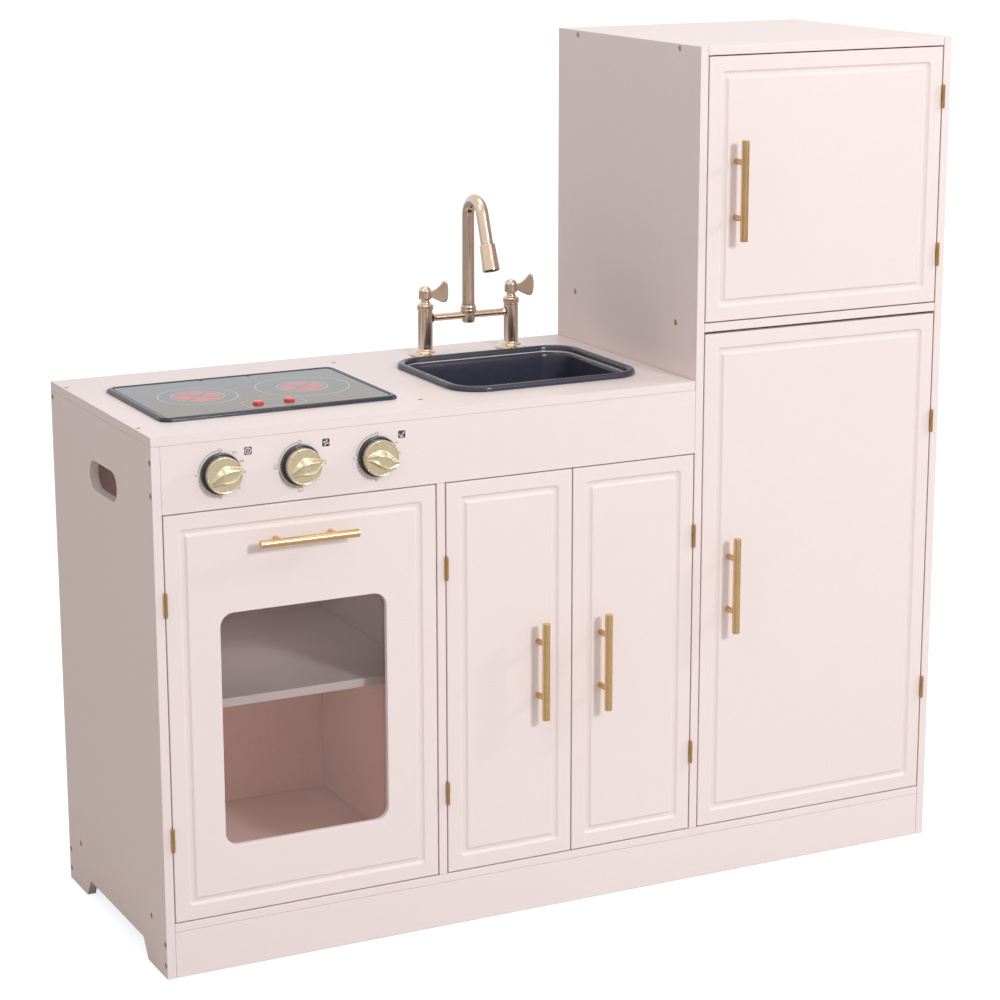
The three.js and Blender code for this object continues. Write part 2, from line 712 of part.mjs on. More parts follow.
// Pipe that rises, bends forward and leans outward as it comes down, with a spray head.
function addTapSpout() {
  const start = new THREE.Vector3(0, 0, COLLAR_TOP + GAP);
  const bendStart = new THREE.Vector3(0, 0, SPOUT_BEND_Z);
  const bend = [];
  const bendSteps = 14;
  for (let i = 0; i <= bendSteps; i += 1) {
    const angle = ((Math.PI - SPOUT_LEAN) * i) / bendSteps;
    const y = -SPOUT_BEND * (1 - Math.cos(angle));
    bend.push(new THREE.Vector3(0, y, SPOUT_BEND_Z + SPOUT_BEND * Math.sin(angle)));
  }
  const down = new THREE.Vector3(0, -Math.sin(SPOUT_LEAN), -Math.cos(SPOUT_LEAN));
  const armEnd = bend[bendSteps].clone().addScaledVector(down, SPOUT_ARM);
  const section = new THREE.Shape();
  section.absarc(0, 0, SPOUT_RADIUS, 0, 2 * Math.PI);
  const lower = rod(SPOUT_RADIUS, start.z, bendStart.z, 16);
  const arch = new THREE.ExtrudeGeometry(section, {
    steps: 20,
    curveSegments: 8,
    extrudePath: new THREE.CatmullRomCurve3([bendStart.clone().setZ(SPOUT_BEND_Z - 4), ...bend, armEnd]),
  });
  const spray = turned([
    [0, 0],
    [SPRAY_RADIUS - 0.6, 0],
    [SPRAY_RADIUS, 1],
    [SPRAY_RADIUS - 1, SPRAY_LENGTH - 1],
    [SPOUT_RADIUS + 0.5, SPRAY_LENGTH],
    [0, SPRAY_LENGTH],
  ]);
  const sprayEnd = armEnd.clone().addScaledVector(down, SPRAY_LENGTH - 2);
  spray.rotateX(-SPOUT_LEAN).translate(sprayEnd.x, sprayEnd.y, sprayEnd.z);
  add("tap_spout", join(lower, arch, spray).translate(TAP.x, TAP.y, 0), TAP_GOLD);
}

// Wing of a lever, about the middle of its hub: narrow at the hub, wide and slanted at its end.
function wingOutline() {
  const wing = new THREE.Shape();
  wing.moveTo(4, -4);
  wing.quadraticCurveTo(14, -6, 20, -11.4);
  wing.quadraticCurveTo(WING_REACH, -10, WING_REACH, 0);
  wing.quadraticCurveTo(WING_REACH, 15.6, 22.5, 15.6);
  wing.quadraticCurveTo(14, 4, 4, 3);
  return wing;
}

function addTapLevers() {
  const hubBottom = COLUMN_TOP + GAP;
  const hubTop = hubBottom + HUB_HEIGHT;
  [-1, 1].forEach((end) => {
    const hub = turned([
      [0, hubBottom],
      [HUB_RADIUS - 1, hubBottom],
      [HUB_RADIUS, hubBottom + 1.5],
      [HUB_RADIUS, hubTop - 4.5],
      [HUB_RADIUS - 2, hubTop - 1],
      [0, hubTop],
    ], 24);
    const wing = frontal(wingOutline(), -WING_HALF_THICKNESS, WING_HALF_THICKNESS, 6);
    const lever = join(hub, wing.translate(0, 0, hubBottom + HUB_HEIGHT / 2));
    lever.rotateZ(THREE.MathUtils.degToRad(LEVER_TURN));
    const name = end < 0 ? "tap_lever_left" : "tap_lever_right";
    add(name, lever.translate(TAP.x + (end * TAP.spacing) / 2, TAP.y, 0), TAP_GOLD);
  });
}

addUprights();
addLevelBoards();
addBacks();
addWorktop();
addControlPanel();
addKnobs();
addDoors();
addHob();
addSink();
addTapColumns();
addTapBridge();
addTapSpout();
addTapLevers();

const handleFront = BAR_REACH + BAR_RADIUS;
kitchen.position.set(-WIDTH / 2, (handleFront - DEPTH) / 2, 0);

export default kitchen;
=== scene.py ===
# %% [markdown]
# # A toy kitchen, built piece by piece
# The toy is a flat-pack play kitchen: painted 10 mm boards make a worktop unit with an oven, a
# cupboard, a hob and a sink, and a tall fridge with a freezer stands beside it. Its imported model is
# the fixed frame of this lesson. It holds every board, hinge and axis at its real place and size,
# so nothing here is moved by eye: each piece is made where the frame says that it belongs.

# %% Load the frame
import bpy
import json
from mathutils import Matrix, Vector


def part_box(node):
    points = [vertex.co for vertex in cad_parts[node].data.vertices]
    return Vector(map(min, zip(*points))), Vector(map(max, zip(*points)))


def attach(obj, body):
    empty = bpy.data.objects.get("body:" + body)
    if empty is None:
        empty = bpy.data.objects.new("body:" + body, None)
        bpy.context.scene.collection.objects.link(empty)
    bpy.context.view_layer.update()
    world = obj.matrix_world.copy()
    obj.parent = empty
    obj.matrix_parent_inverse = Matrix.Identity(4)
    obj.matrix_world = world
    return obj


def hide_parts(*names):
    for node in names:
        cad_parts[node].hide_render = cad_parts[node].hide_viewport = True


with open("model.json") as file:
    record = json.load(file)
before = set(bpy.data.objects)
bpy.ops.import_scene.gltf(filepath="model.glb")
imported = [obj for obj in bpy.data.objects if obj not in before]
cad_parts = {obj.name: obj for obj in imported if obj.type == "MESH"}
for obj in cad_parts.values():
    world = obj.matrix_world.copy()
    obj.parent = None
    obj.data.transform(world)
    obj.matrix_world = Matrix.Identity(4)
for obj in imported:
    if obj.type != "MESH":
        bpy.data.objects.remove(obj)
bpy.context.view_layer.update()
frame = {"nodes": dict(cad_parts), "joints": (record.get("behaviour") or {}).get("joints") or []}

# %% Modules
import json
import math

import bmesh
import bpy
from mathutils import Matrix, Vector

# %% [markdown]
# ## Measures
# A joiner measures a cabinet in millimetres from its left outer face, its front face and the floor,
# while Blender works in metres about the middle of the base. Shapes could be written in metres, but
# then a 0.6 mm edge is lost among zeros. So all shapes are drawn in the joiner's millimetres, and
# one function turns such a point into a place in the frame. The three zero faces are read from the
# frame itself, and so is the extent of any part.

# %% Joiner's millimetres
MM = 0.001
CORNER = Vector((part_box("left_side_panel")[0].x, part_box("front_plinth")[0].y, 0))
UP = Vector((0, 0, 1))
RIGHT = Vector((1, 0, 0))
FRONT = Vector((0, -1, 0))


def at(point):
    """A joiner's point in millimetres, as a place in the frame in metres."""
    return CORNER + Vector(point) * MM


def span(node):
    """The lowest and highest corner of a part of the frame, in the joiner's millimetres."""
    return [(corner - CORNER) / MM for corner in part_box(node)]


def middle(node):
    low, high = span(node)
    return (low + high) / 2


def axis_of(joint_name):
    """A point on a joint's axis, in the joiner's millimetres."""
    joint = next(joint for joint in frame["joints"] if joint["name"] == joint_name)
    return (Vector(joint["pos_m"]) - CORNER) / MM


cabinet_high = span("fridge_right_panel")[1]
print("worktop at", round(span("worktop")[1].z), "mm, fridge top at", round(cabinet_high.z), "mm")

# %% [markdown]
# ## Camera
# A view of a whole cabinet from a few metres away, slightly above and to the left, shows its front,
# its left side and its top together. A camera could be aimed with a tracking constraint, but three
# turns say exactly how it stands: a yaw round the upright axis, a pitch down and a tiny roll.

# %% Camera
CAMERA_PLACE = (-918.6, -2644.3, 1223.4)
CAMERA_YAW = -0.46499
CAMERA_PITCH = 0.24109
CAMERA_ROLL = -0.00163
LENS = 98.15
SENSOR = 36
SEES_TO = 200
scene = bpy.context.scene
camera = bpy.data.objects.new("camera", bpy.data.cameras.new("camera"))
camera.data.lens = LENS
camera.data.sensor_width = SENSOR
camera.data.clip_end = SEES_TO
camera.location = at(CAMERA_PLACE)
turns = Matrix.Rotation(CAMERA_YAW, 3, "Z") @ Matrix.Rotation(math.pi / 2 - CAMERA_PITCH, 3, "X")
camera.rotation_euler = (turns @ Matrix.Rotation(CAMERA_ROLL, 3, "Z")).to_euler()
scene.collection.objects.link(camera)
scene.camera = camera
print("camera at", [round(value, 3) for value in camera.location])

# %% [markdown]
# ## Writing materials as sums
# A finish is a small network of nodes. It could be clicked together or written node by node with
# three lines each, which hides the idea behind it. Here a class wraps a node's output, so that an
# ordinary expression such as 1 - mask * 0.5 adds the Math nodes by itself. Every other node comes
# from one method: its settings are set first, then the values or links of its sockets.


# %% Sockets that can be added and multiplied
class Socket:
    """A node's output. Arithmetic on it adds Math nodes to the same finish."""

    def __init__(self, finish, output):
        self.finish = finish
        self.output = output

    def maths(self, operation, first, second=0.0):
        return self.finish.add("ShaderNodeMath", {"operation": operation}, {0: first, 1: second})

    def __add__(self, other):
        return self.maths("ADD", self, other)

    def __sub__(self, other):
        return self.maths("SUBTRACT", self, other)

    def __rsub__(self, other):
        return self.maths("SUBTRACT", other, self)

    def __mul__(self, other):
        return self.maths("MULTIPLY", self, other)

    def __truediv__(self, other):
        return self.maths("DIVIDE", self, other)

    def __lt__(self, other):
        return self.maths("LESS_THAN", self, other)

    def __gt__(self, other):
        return self.maths("GREATER_THAN", self, other)

    def __abs__(self):
        return self.maths("ABSOLUTE", self)

    __radd__ = __add__
    __rmul__ = __mul__

    def least(self, other):
        return self.maths("MINIMUM", self, other)

    def most(self, other):
        return self.maths("MAXIMUM", self, other)

    def output_named(self, name):
        """Another output of the same node."""
        return Socket(self.finish, self.output.node.outputs[name])


# %% A finish and its nodes
class Finish:
    """The nodes of one material, or of the world."""

    def __init__(self, owner):
        self.owner = owner
        owner.use_nodes = True
        self.tree = owner.node_tree
        self.tree.nodes.clear()

    def add(self, kind, settings, sockets, output=0):
        """One node: its settings first, then the values or links of its sockets."""
        node = self.tree.nodes.new(kind)
        for key, value in settings.items():
            setattr(node, key, value)
        for key, value in sockets.items():
            if isinstance(value, Socket):
                self.tree.links.new(value.output, node.inputs[key])
            else:
                node.inputs[key].default_value = value
        return Socket(self, node.outputs[output]) if len(node.outputs) else node

    def place(self, stretch=(1, 1, 1)):
        """The point on the piece in its own metres, stretched along its axes."""
        point = self.add("ShaderNodeTexCoord", {}, {}, "Object")
        return self.add("ShaderNodeVectorMath", {"operation": "MULTIPLY"}, {0: point, 1: stretch})

    def noise(self, scale, detail=2.0, stretch=(1, 1, 1)):
        """Cloudy noise from 0 to 1, with scale lumps to a metre."""
        sockets = {"Vector": self.place(stretch), "Scale": scale, "Detail": detail}
        return self.add("ShaderNodeTexNoise", {}, sockets)

    def speckle(self, scale):
        """The distance to scattered points, in cells of 1 / scale metres."""
        return self.add("ShaderNodeTexVoronoi", {}, {"Vector": self.place(), "Scale": scale})

    def axes(self, vector):
        """The three parts of a vector."""
        x = self.add("ShaderNodeSeparateXYZ", {}, {0: vector})
        return x, x.output_named("Y"), x.output_named("Z")

    def distance(self, x, y):
        """How far the point (x, y) is from zero."""
        square = x * x + y * y
        return self.add("ShaderNodeMath", {"operation": "SQRT"}, {0: square})

    def mix(self, factor, first, second):
        """A colour from first to second as the factor goes from 0 to 1."""
        settings = {"data_type": "RGBA", "clamp_factor": True}
        return self.add("ShaderNodeMix", settings, {0: factor, 6: first, 7: second}, 2)

    def bump(self, height, distance, strength=1.0):
        sockets = {"Height": height, "Distance": distance, "Strength": strength}
        return self.add("ShaderNodeBump", {}, sockets)

    def principled(self, **sockets):
        named = {key.replace("_", " "): value for key, value in sockets.items()}
        return self.add("ShaderNodeBsdfPrincipled", {}, named)

    def surface(self, shader):
        self.add("ShaderNodeOutputMaterial", {}, {"Surface": shader})
        return self.owner


def new_finish(name):
    return Finish(bpy.data.materials.new(name))


def tone(red, green, blue):
    """A colour as a paint chart gives it, from 0 to 255, in Blender's linear light."""
    shares = [c / 255 for c in (red, green, blue)]
    linear = [s / 12.92 if s <= 10 / 255 else ((s + 0.055) / 1.055) ** 2.4 for s in shares]
    return (*linear, 1.0)


# %% [markdown]
# ## Blush paint
# All boards carry the same satin paint, a very pale blush. On the real boards it is sprayed, so up
# close it has the fine skin called orange peel, and from afar its tone and sheen drift a little. A
# plain colour would look like plastic card. Two noises of different size drift the colour, one of
# them also moves the roughness, and a third, a millimetre fine, lifts the surface by hundredths of
# a millimetre.


# %% Blush paint
def painted(name, light, dark, roughness, peel_height=0.00003):
    paint = new_finish(name)
    cloud = paint.noise(2.5, 3)
    fleck = paint.noise(45, 2)
    drift = cloud * 0.7 + fleck * 0.3
    peel = paint.noise(650, 2) * 0.75 + fleck * 0.25
    return paint.surface(paint.principled(
        Base_Color=paint.mix(drift, dark, light),
        Roughness=roughness + (cloud - 0.5) * 0.14 + (fleck - 0.5) * 0.06,
        Specular_IOR_Level=0.5,
        Normal=paint.bump(peel, peel_height),
    ))


blush = painted("blush_paint", tone(238, 227, 226), tone(233, 220, 218), 0.36)
print("made", blush.name)

# %% [markdown]
# ## Hardboard
# The back of the unit is thin hardboard, painted once on a face full of pressed fibre. It is
# duller than the boards and a little darker. Long thin noise in two directions gives the fibre.

# %% Hardboard
board = new_finish("back_hardboard")
fibre_up = board.noise(260, 3, (1, 1, 0.15))
fibre_across = board.noise(260, 3, (0.15, 1, 1))
fibre = fibre_up.most(fibre_across)
hardboard = board.surface(board.principled(
    Base_Color=board.mix(fibre, tone(226, 207, 203), tone(240, 224, 221)),
    Roughness=0.6 + fibre * 0.2,
    Specular_IOR_Level=0.3,
    Normal=board.bump(fibre, 0.00008),
))
print("made", hardboard.name)

# %% [markdown]
# ## Metals
# The bar handles are brushed and anodised a warm gold, the hinges and screws are brass plated, and
# the tap is plastic with a champagne coloured metal film. All three are one recipe: full or nearly
# full metallic, a roughness that changes in streaks, and a faint lift along the same streaks. Only
# the colours, the roughness and the direction of the streaks differ.


# %% Metals
def metal(name, light, dark, roughness, streak=(1, 1, 1), scale=400, lift=0.000004, metallic=1.0):
    plate = new_finish(name)
    grain = plate.noise(scale, 3, streak)
    cloud = plate.noise(40, 2)
    return plate.surface(plate.principled(
        Base_Color=plate.mix(grain * 0.6 + cloud * 0.4, dark, light),
        Metallic=metallic,
        Roughness=roughness + (grain - 0.5) * 0.16 + (cloud - 0.5) * 0.08,
        Normal=plate.bump(grain, lift),
    ))


handle_gold = metal("brushed_gold", tone(226, 196, 148), tone(204, 172, 124), 0.27, (1, 1, 0.03), 900)
brass = metal("brass_plate", tone(206, 172, 116), tone(168, 130, 78), 0.3)
film_light, film_dark = tone(226, 209, 194), tone(212, 192, 172)
champagne = metal("champagne_film", film_light, film_dark, 0.2, (1, 1, 0.15), 250, 0.0000008)
steel = metal("zinc_steel", tone(200, 202, 204), tone(170, 172, 176), 0.35)
print("made", handle_gold.name, brass.name, champagne.name, steel.name)

# %% [markdown]
# ## Knob faces
# A knob's gold face shows fine rings, as if it had been turned on a lathe. They are made from the
# distance to the knob's own axis: its sine, as fine as the rings, both tilts the surface and
# changes the sheen. This works because each knob's origin lies on its axis.

# %% Knob faces
RINGS_PER_METRE = 1500
face = new_finish("knob_gold")
face_x, _, face_z = face.axes(face.place())
radius = face.distance(face_x, face_z)
rings = face.add("ShaderNodeMath", {"operation": "SINE"}, {0: radius * (2 * math.pi * RINGS_PER_METRE)})
worn = face.noise(180, 3)
knob_gold = face.surface(face.principled(
    Base_Color=face.mix(rings * 0.12 + worn, tone(204, 192, 162), tone(224, 214, 186)),
    Metallic=0.85,
    Roughness=0.2 + rings * 0.03 + worn * 0.1,
    Normal=face.bump(rings * 0.5 + worn, 0.00001),
))
print("made", knob_gold.name)

# %% [markdown]
# ## Moulded plastics
# The sink, the hob's frame and the knob skirts are glossy plastic that looks black and is really a
# very dark navy; the sink's copy is lighter and bluer, a painted sheen for the bluish reflection its
# walls show. The buttons are bright red, the catches white. Moulded gloss is never a perfect
# mirror: a slow wave in the surface bends its reflections, and handling leaves the sheen uneven.


# %% Moulded plastics
def moulded(name, light, dark, roughness, wave=0.00006, coat=0.0):
    plastic = new_finish(name)
    slow = plastic.noise(22, 2)
    fine = plastic.noise(900, 2)
    scuff = plastic.noise(120, 4)
    return plastic.surface(plastic.principled(
        Base_Color=plastic.mix(scuff, dark, light),
        Roughness=roughness + (scuff - 0.5) * 0.12,
        Coat_Weight=coat,
        Coat_Roughness=0.08,
        Normal=plastic.bump(slow + fine * 0.02, wave),
    ))


navy_gloss = moulded("navy_gloss", tone(42, 45, 66), tone(30, 32, 48), 0.13, 0.00003)
skirt_navy = moulded("skirt_navy", tone(52, 52, 66), tone(40, 40, 52), 0.28)
# The sink's navy is lighter and bluer than the frame's: painted sheen, the bluish reflection of its walls laid over
# the plastic's own navy.
sink_navy_and_painted_sheen = moulded("sink_navy_and_painted_sheen", tone(57, 58, 75), tone(49, 50, 66), 0.2, 0.00001)
red_plastic = moulded("red_plastic", tone(226, 52, 52), tone(214, 40, 42), 0.22, 0.00002, 0.5)
white_plastic = moulded("white_plastic", tone(238, 238, 236), tone(226, 226, 224), 0.4)
print("made", navy_gloss.name, skirt_navy.name, red_plastic.name, white_plastic.name)

# %% [markdown]
# ## Hob glass with its print
# The hob is a thin glossy taupe plate with printed cooking zones: two thin rings and a red disc
# that diagonal gaps cut in four, twice, and a thin frame round the buttons. A picture could carry
# the print, but sums draw it sharper: a ring is where the distance to its centre is within half a
# line of its radius, and a gap is where the two diagonals are narrow.

# %% Hob glass with its print
LINE = 0.00045
hob_low, hob_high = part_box("hob_plate")
hob_middle = (hob_low + hob_high) / 2
button_middle = (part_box("hob_button_left")[0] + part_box("hob_button_right")[1]) / 2
ZONES = (
    (-0.06125, 0.005, 0.045, 0.0295, 0.026),
    (0.06375, 0.004, 0.0535, 0.0287, 0.0255),
)
HALF_GAP = 0.0034
glass = new_finish("hob_glass")
glass_x, glass_y, _ = glass.axes(glass.place())


def near(value, target, width):
    """1 where the value is within half a width of the target."""
    return abs(value - target) < width / 2


def inside_frame(width, depth, corner):
    """How far a point lies outside a rounded frame round the buttons; negative inside."""
    x = (abs(glass_x - button_middle.x) - (width / 2 - corner)).most(0.0)
    y = (abs(glass_y - button_middle.y) - (depth / 2 - corner)).most(0.0)
    return glass.distance(x, y) - corner


lines = near(inside_frame(0.069, 0.032, 0.006), 0.0, LINE)
red = lines * 0.0
for zone_x, zone_y, outer, inner, disc in ZONES:
    x = glass_x - (hob_middle.x + zone_x)
    y = glass_y - (hob_middle.y + zone_y)
    away = glass.distance(x, y)
    lines = lines.most(near(away, outer, 2 * LINE)).most(near(away, inner, 2 * LINE))
    gaps = (abs(x + y) < HALF_GAP).most(abs(x - y) < HALF_GAP)
    red = red.most((away < disc) * (1 - gaps))
smear = glass.noise(30, 3)
speck = glass.noise(1500, 1)
taupe = glass.mix(smear * 0.7 + speck * 0.3, tone(96, 84, 62), tone(116, 103, 78))
print_red = glass.mix(speck, tone(196, 62, 54), tone(220, 84, 70))
hob_glass = glass.surface(glass.principled(
    Base_Color=glass.mix(lines, glass.mix(red * 0.85, taupe, print_red), tone(205, 202, 198)),
    Roughness=0.07 + smear * 0.06 + lines * 0.2,
    Normal=glass.bump(smear, 0.00002),
))
print("made", hob_glass.name)

# %% [markdown]
# ## Clear window
# The oven's window is a sheet of clear acrylic. A glass shader with refraction is slow and noisy
# behind a door, and a sheet this thin hardly bends light. So the sheet mixes a transparent shader
# with a glossy one: the share of gloss is the Fresnel term, plus a trace of haze and fine dust
# that catches the light.

# %% Clear window
pane = new_finish("clear_acrylic")
dust = (pane.speckle(170) < 0.035) * (pane.noise(25, 2) > 0.5)
haze = pane.noise(14, 3)
fresnel = pane.add("ShaderNodeFresnel", {}, {"IOR": 1.49})
clear = pane.add("ShaderNodeBsdfTransparent", {}, {"Color": (0.93, 0.92, 0.92, 1)})
gloss = pane.principled(
    Base_Color=pane.mix(haze, tone(214, 208, 206), tone(232, 228, 226)),
    Roughness=0.06 + haze * 0.06,
)
share = (fresnel * 0.8 + haze * 0.03 + dust * 0.35).least(1.0)
clear_acrylic = pane.surface(pane.add("ShaderNodeMixShader", {}, {0: share, 1: clear, 2: gloss}))
print("made", clear_acrylic.name)

# %% [markdown]
# ## Printing ink
# The dials and their little signs are printed. Ink on satin paint is matt and slightly uneven, so
# it gets a noise that thins the colour towards the paint in tiny spots.


# %% Printing ink
def printed(name, ink, thin):
    print_ink = new_finish(name)
    thinning = print_ink.noise(1400, 2)
    return print_ink.surface(print_ink.principled(
        Base_Color=print_ink.mix(thinning * 0.6, ink, thin),
        Roughness=0.5 + thinning * 0.2,
        Normal=print_ink.bump(thinning, 0.000005),
    ))


grey_ink = printed("grey_ink", tone(84, 78, 84), tone(134, 124, 128))
dark_ink = printed("dark_ink", tone(46, 44, 52), tone(80, 76, 84))
pale_ink = printed("pale_ink", tone(244, 240, 240), tone(226, 220, 220))
print("made", grey_ink.name, dark_ink.name, pale_ink.name)

# %% [markdown]
# ## Shapes from rings
# Nearly every part of the toy is a row of closed outlines joined one to the next: a turned post is
# a row of circles, a door a row of rounded rectangles, a sink the same lying flat. Blender's
# primitives would need cutting and smoothing afterwards. So a small class gathers points and faces
# ring by ring, in millimetres, and outlines are plain lists of pairs that a second function stands
# up or lays down.


# %% The shape class
class Shape:
    """Points in millimetres and the faces between them, with a finish number for each face."""

    def __init__(self):
        self.points = []
        self.faces = []
        self.looks = []

    def face(self, corners, look=0):
        self.faces.append(tuple(corners))
        self.looks.append(look)

    def ring(self, points):
        first = len(self.points)
        self.points.extend(Vector(point) for point in points)
        return list(range(first, len(self.points)))

    def loft(self, rings, look=0, ends=True, closed=False):
        """Joins rings that have the same number of points, one after the other."""
        rows = [self.ring(points) for points in rings]
        pairs = list(zip(rows, rows[1:]))
        if closed:
            pairs.append((rows[-1], rows[0]))
        for row, after in pairs:
            for i, corner in enumerate(row):
                j = (i + 1) % len(row)
                self.face((corner, row[j], after[j], after[i]), look)
        if ends and not closed:
            self.face(reversed(rows[0]), look)
            self.face(rows[-1], look)
        return self

    def box(self, low, high, look=0):
        outline = [(low[0], low[1]), (high[0], low[1]), (high[0], high[1]), (low[0], high[1])]
        return self.loft([level(outline, low[2]), level(outline, high[2])], look)


# %% Outlines, and where they stand
def rounded(x, y, width, height, corner, steps=6):
    """A rectangle with rounded corners about (x, y), as 4 * (steps + 1) pairs."""
    pairs = []
    for quarter, (side, end) in enumerate(((1, 1), (-1, 1), (-1, -1), (1, -1))):
        for step in range(steps + 1):
            angle = (quarter + step / steps) * math.pi / 2
            across = x + side * (width / 2 - corner) + corner * math.cos(angle)
            pairs.append((across, y + end * (height / 2 - corner) + corner * math.sin(angle)))
    return pairs


def hoop(x, y, reach, count=24):
    """A circle about (x, y)."""
    turns_of = [2 * math.pi * i / count for i in range(count)]
    return [(x + reach * math.cos(angle), y + reach * math.sin(angle)) for angle in turns_of]


def level(pairs, z):
    return [(x, y, z) for x, y in pairs]


def frontal(pairs, y):
    return [(x, y, z) for x, z in pairs]


def slab(layers, steps=6):
    """Flat rounded rectangles, from (x, y, width, depth, corner, z) layers."""
    return [level(rounded(*layer[:5], steps), layer[5]) for layer in layers]


def turned(profile, base, axis=UP, count=40):
    """Circles about an axis through base, from (radius, distance along the axis) pairs."""
    base = Vector(base)
    side = UP if abs(axis.x) > 0.9 else RIGHT
    other = axis.cross(side)
    return [
        [base + axis * along + (side * c + other * s) * radius for c, s in hoop(0, 0, 1, count)]
        for radius, along in profile
    ]


def through(pairs, x):
    """The height at x on a smooth curve through (x, height) pairs."""
    if x <= pairs[0][0]:
        return pairs[0][1]
    slopes = [0.0]
    for before, after in zip(pairs, pairs[2:]):
        slopes.append((after[1] - before[1]) / (after[0] - before[0]))
    slopes.append(0.0)
    for i, ((x0, h0), (x1, h1)) in enumerate(zip(pairs, pairs[1:])):
        if x <= x1:
            run, t = x1 - x0, (x - x0) / (x1 - x0)
            start = (2 * t**3 - 3 * t**2 + 1) * h0 + (t**3 - 2 * t**2 + t) * run * slopes[i]
            return start + (3 * t**2 - 2 * t**3) * h1 + (t**3 - t**2) * run * slopes[i + 1]
    return pairs[-1][1]


# %% [markdown]
# ## Placing a piece
# A shape becomes a Blender object in one step, so that no piece misses a part of it: its mesh is
# cleaned and turned outwards, sharp edges are marked, a weighted normal modifier keeps flat faces
# flat beside small round edges, and the piece then rides on its body in the frame.


# %% Placing a piece
def link(name, mesh, origin=(0, 0, 0), turn=None):
    piece = bpy.data.objects.new(name, mesh)
    piece.location = at(origin)
    if turn:
        piece.rotation_euler = turn
    scene.collection.objects.link(piece)
    return piece


def settle(piece, body, nodes=()):
    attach(piece, body)
    if nodes:
        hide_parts(*nodes)
    return piece


def soften(piece, edge=0.0, crease=32):
    """Smooth shading with sharp edges, and a small round on them where asked."""
    if edge:
        bevel = piece.modifiers.new("round_edges", "BEVEL")
        bevel.width = edge * MM
        bevel.segments = 3
        bevel.limit_method = "ANGLE"
        bevel.angle_limit = math.radians(crease)
        bevel.use_clamp_overlap = True
    weighted = piece.modifiers.new("flat_faces", "WEIGHTED_NORMAL")
    weighted.keep_sharp = not edge
    return piece


def mesh_of(name, shape, finishes, crease=32, origin=(0, 0, 0)):
    mesh = bpy.data.meshes.new(name)
    start = Vector(origin)
    mesh.from_pydata([(point - start) * MM for point in shape.points], [], shape.faces)
    for finish in finishes:
        mesh.materials.append(finish)
    mesh.polygons.foreach_set("material_index", shape.looks)
    tidy = bmesh.new()
    tidy.from_mesh(mesh)
    bmesh.ops.remove_doubles(tidy, verts=tidy.verts, dist=1e-6)
    bmesh.ops.recalc_face_normals(tidy, faces=tidy.faces)
    tidy.to_mesh(mesh)
    tidy.free()
    mesh.shade_smooth()
    mesh.set_sharp_from_angle(angle=math.radians(crease))
    return mesh


def make(name, shape, finishes, body, nodes=(), origin=(0, 0, 0), edge=0.0, crease=32):
    piece = link(name, mesh_of(name, shape, finishes, crease, origin), origin)
    soften(piece, edge, crease)
    return settle(piece, body, nodes)


# %% [markdown]
# ## Boards
# The carcass is made of plain boards, and the frame's solids already have their true outlines. Two
# things are missing on them: sawn and sanded edges are slightly round, and brass screws sit in
# countersinks. Modifiers add both without touching the solids: weld joins their split corners,
# a boolean drills, and a bevel rounds what is left.

# %% Screws, and the holes they sit in
HEAD = 3.3
SINKING = 0.9


def screw_mesh():
    """A countersunk head with a six-sided socket, its face just below zero."""
    count = 36
    profile = [(HEAD, -SINKING), (HEAD, -0.45), (HEAD - 0.3, -0.2), (2.1, -0.1)]
    head = turned(profile, (0, 0, 0), UP, count)
    socket = []
    for depth in (-0.1, -0.75):
        ring = []
        for i in range(count):
            angle = 2 * math.pi * i / count
            reach = 1.55 * math.cos(math.pi / 6) / math.cos(angle % (math.pi / 3) - math.pi / 6)
            ring.append((reach * math.cos(angle), reach * math.sin(angle), depth))
        socket.append(ring)
    return mesh_of("screw", Shape().loft(head + socket), [brass], 25)


screw = screw_mesh()
screw_count = 0
side_right = [(335, 38), (335, 13.5), (295, 58), (48, 58), (5, 39.5), (5, 14.5)]
side_left = side_right + [(5, 580), (5, 544), (334, 591)]
tall_high = [(291, 982.5), (47.5, 983), (294.6, 669), (48.8, 669)]
SCREWS = {
    "left_side_panel": (-RIGHT, [(0, y, z) for y, z in side_left]),
    "fridge_right_panel": (RIGHT, [(1000, y, z) for y, z in side_right + tall_high]),
    "fridge_left_panel": (-RIGHT, [(660, y, z) for y, z in tall_high]),
    "worktop": (UP, [(5, 52, 608), (5, 296, 608), (335, 52, 608), (335, 296, 608)]),
}


def drill(node, facing, centres):
    """Countersinks in a board, with a screw in each."""
    global screw_count
    holes = Shape()
    for centre in centres:
        holes.loft(turned([(HEAD + 0.25, -SINKING), (HEAD + 0.25, 2)], centre, facing, 28))
        head = link(f"screw_{screw_count:02d}", screw, centre, facing.to_track_quat("Z", "Y").to_euler())
        settle(head, "cabinet")
        screw_count += 1
    cutter = link(f"{node}_holes", mesh_of(f"{node}_holes", holes, [blush]))
    cutter.hide_render = True
    cutter.hide_viewport = True
    cut = frame["nodes"][node].modifiers.new("drill", "BOOLEAN")
    cut.operation = "DIFFERENCE"
    cut.solver = "EXACT"
    cut.object = cutter


# %% Dress the boards
BOARD_EDGE = 0.7


def dress(node, finish, edge=BOARD_EDGE):
    """A board of the frame with its finish, welded and with slightly round edges."""
    piece = frame["nodes"][node]
    for material_slot in piece.material_slots:
        material_slot.material = finish
    weld = piece.modifiers.new("weld", "WELD")
    weld.merge_threshold = 0.00001
    flat = piece.modifiers.new("flat", "DECIMATE")
    flat.decimate_type = "DISSOLVE"
    flat.angle_limit = math.radians(1)
    if node in SCREWS:
        drill(node, *SCREWS[node])
    soften(piece, edge)


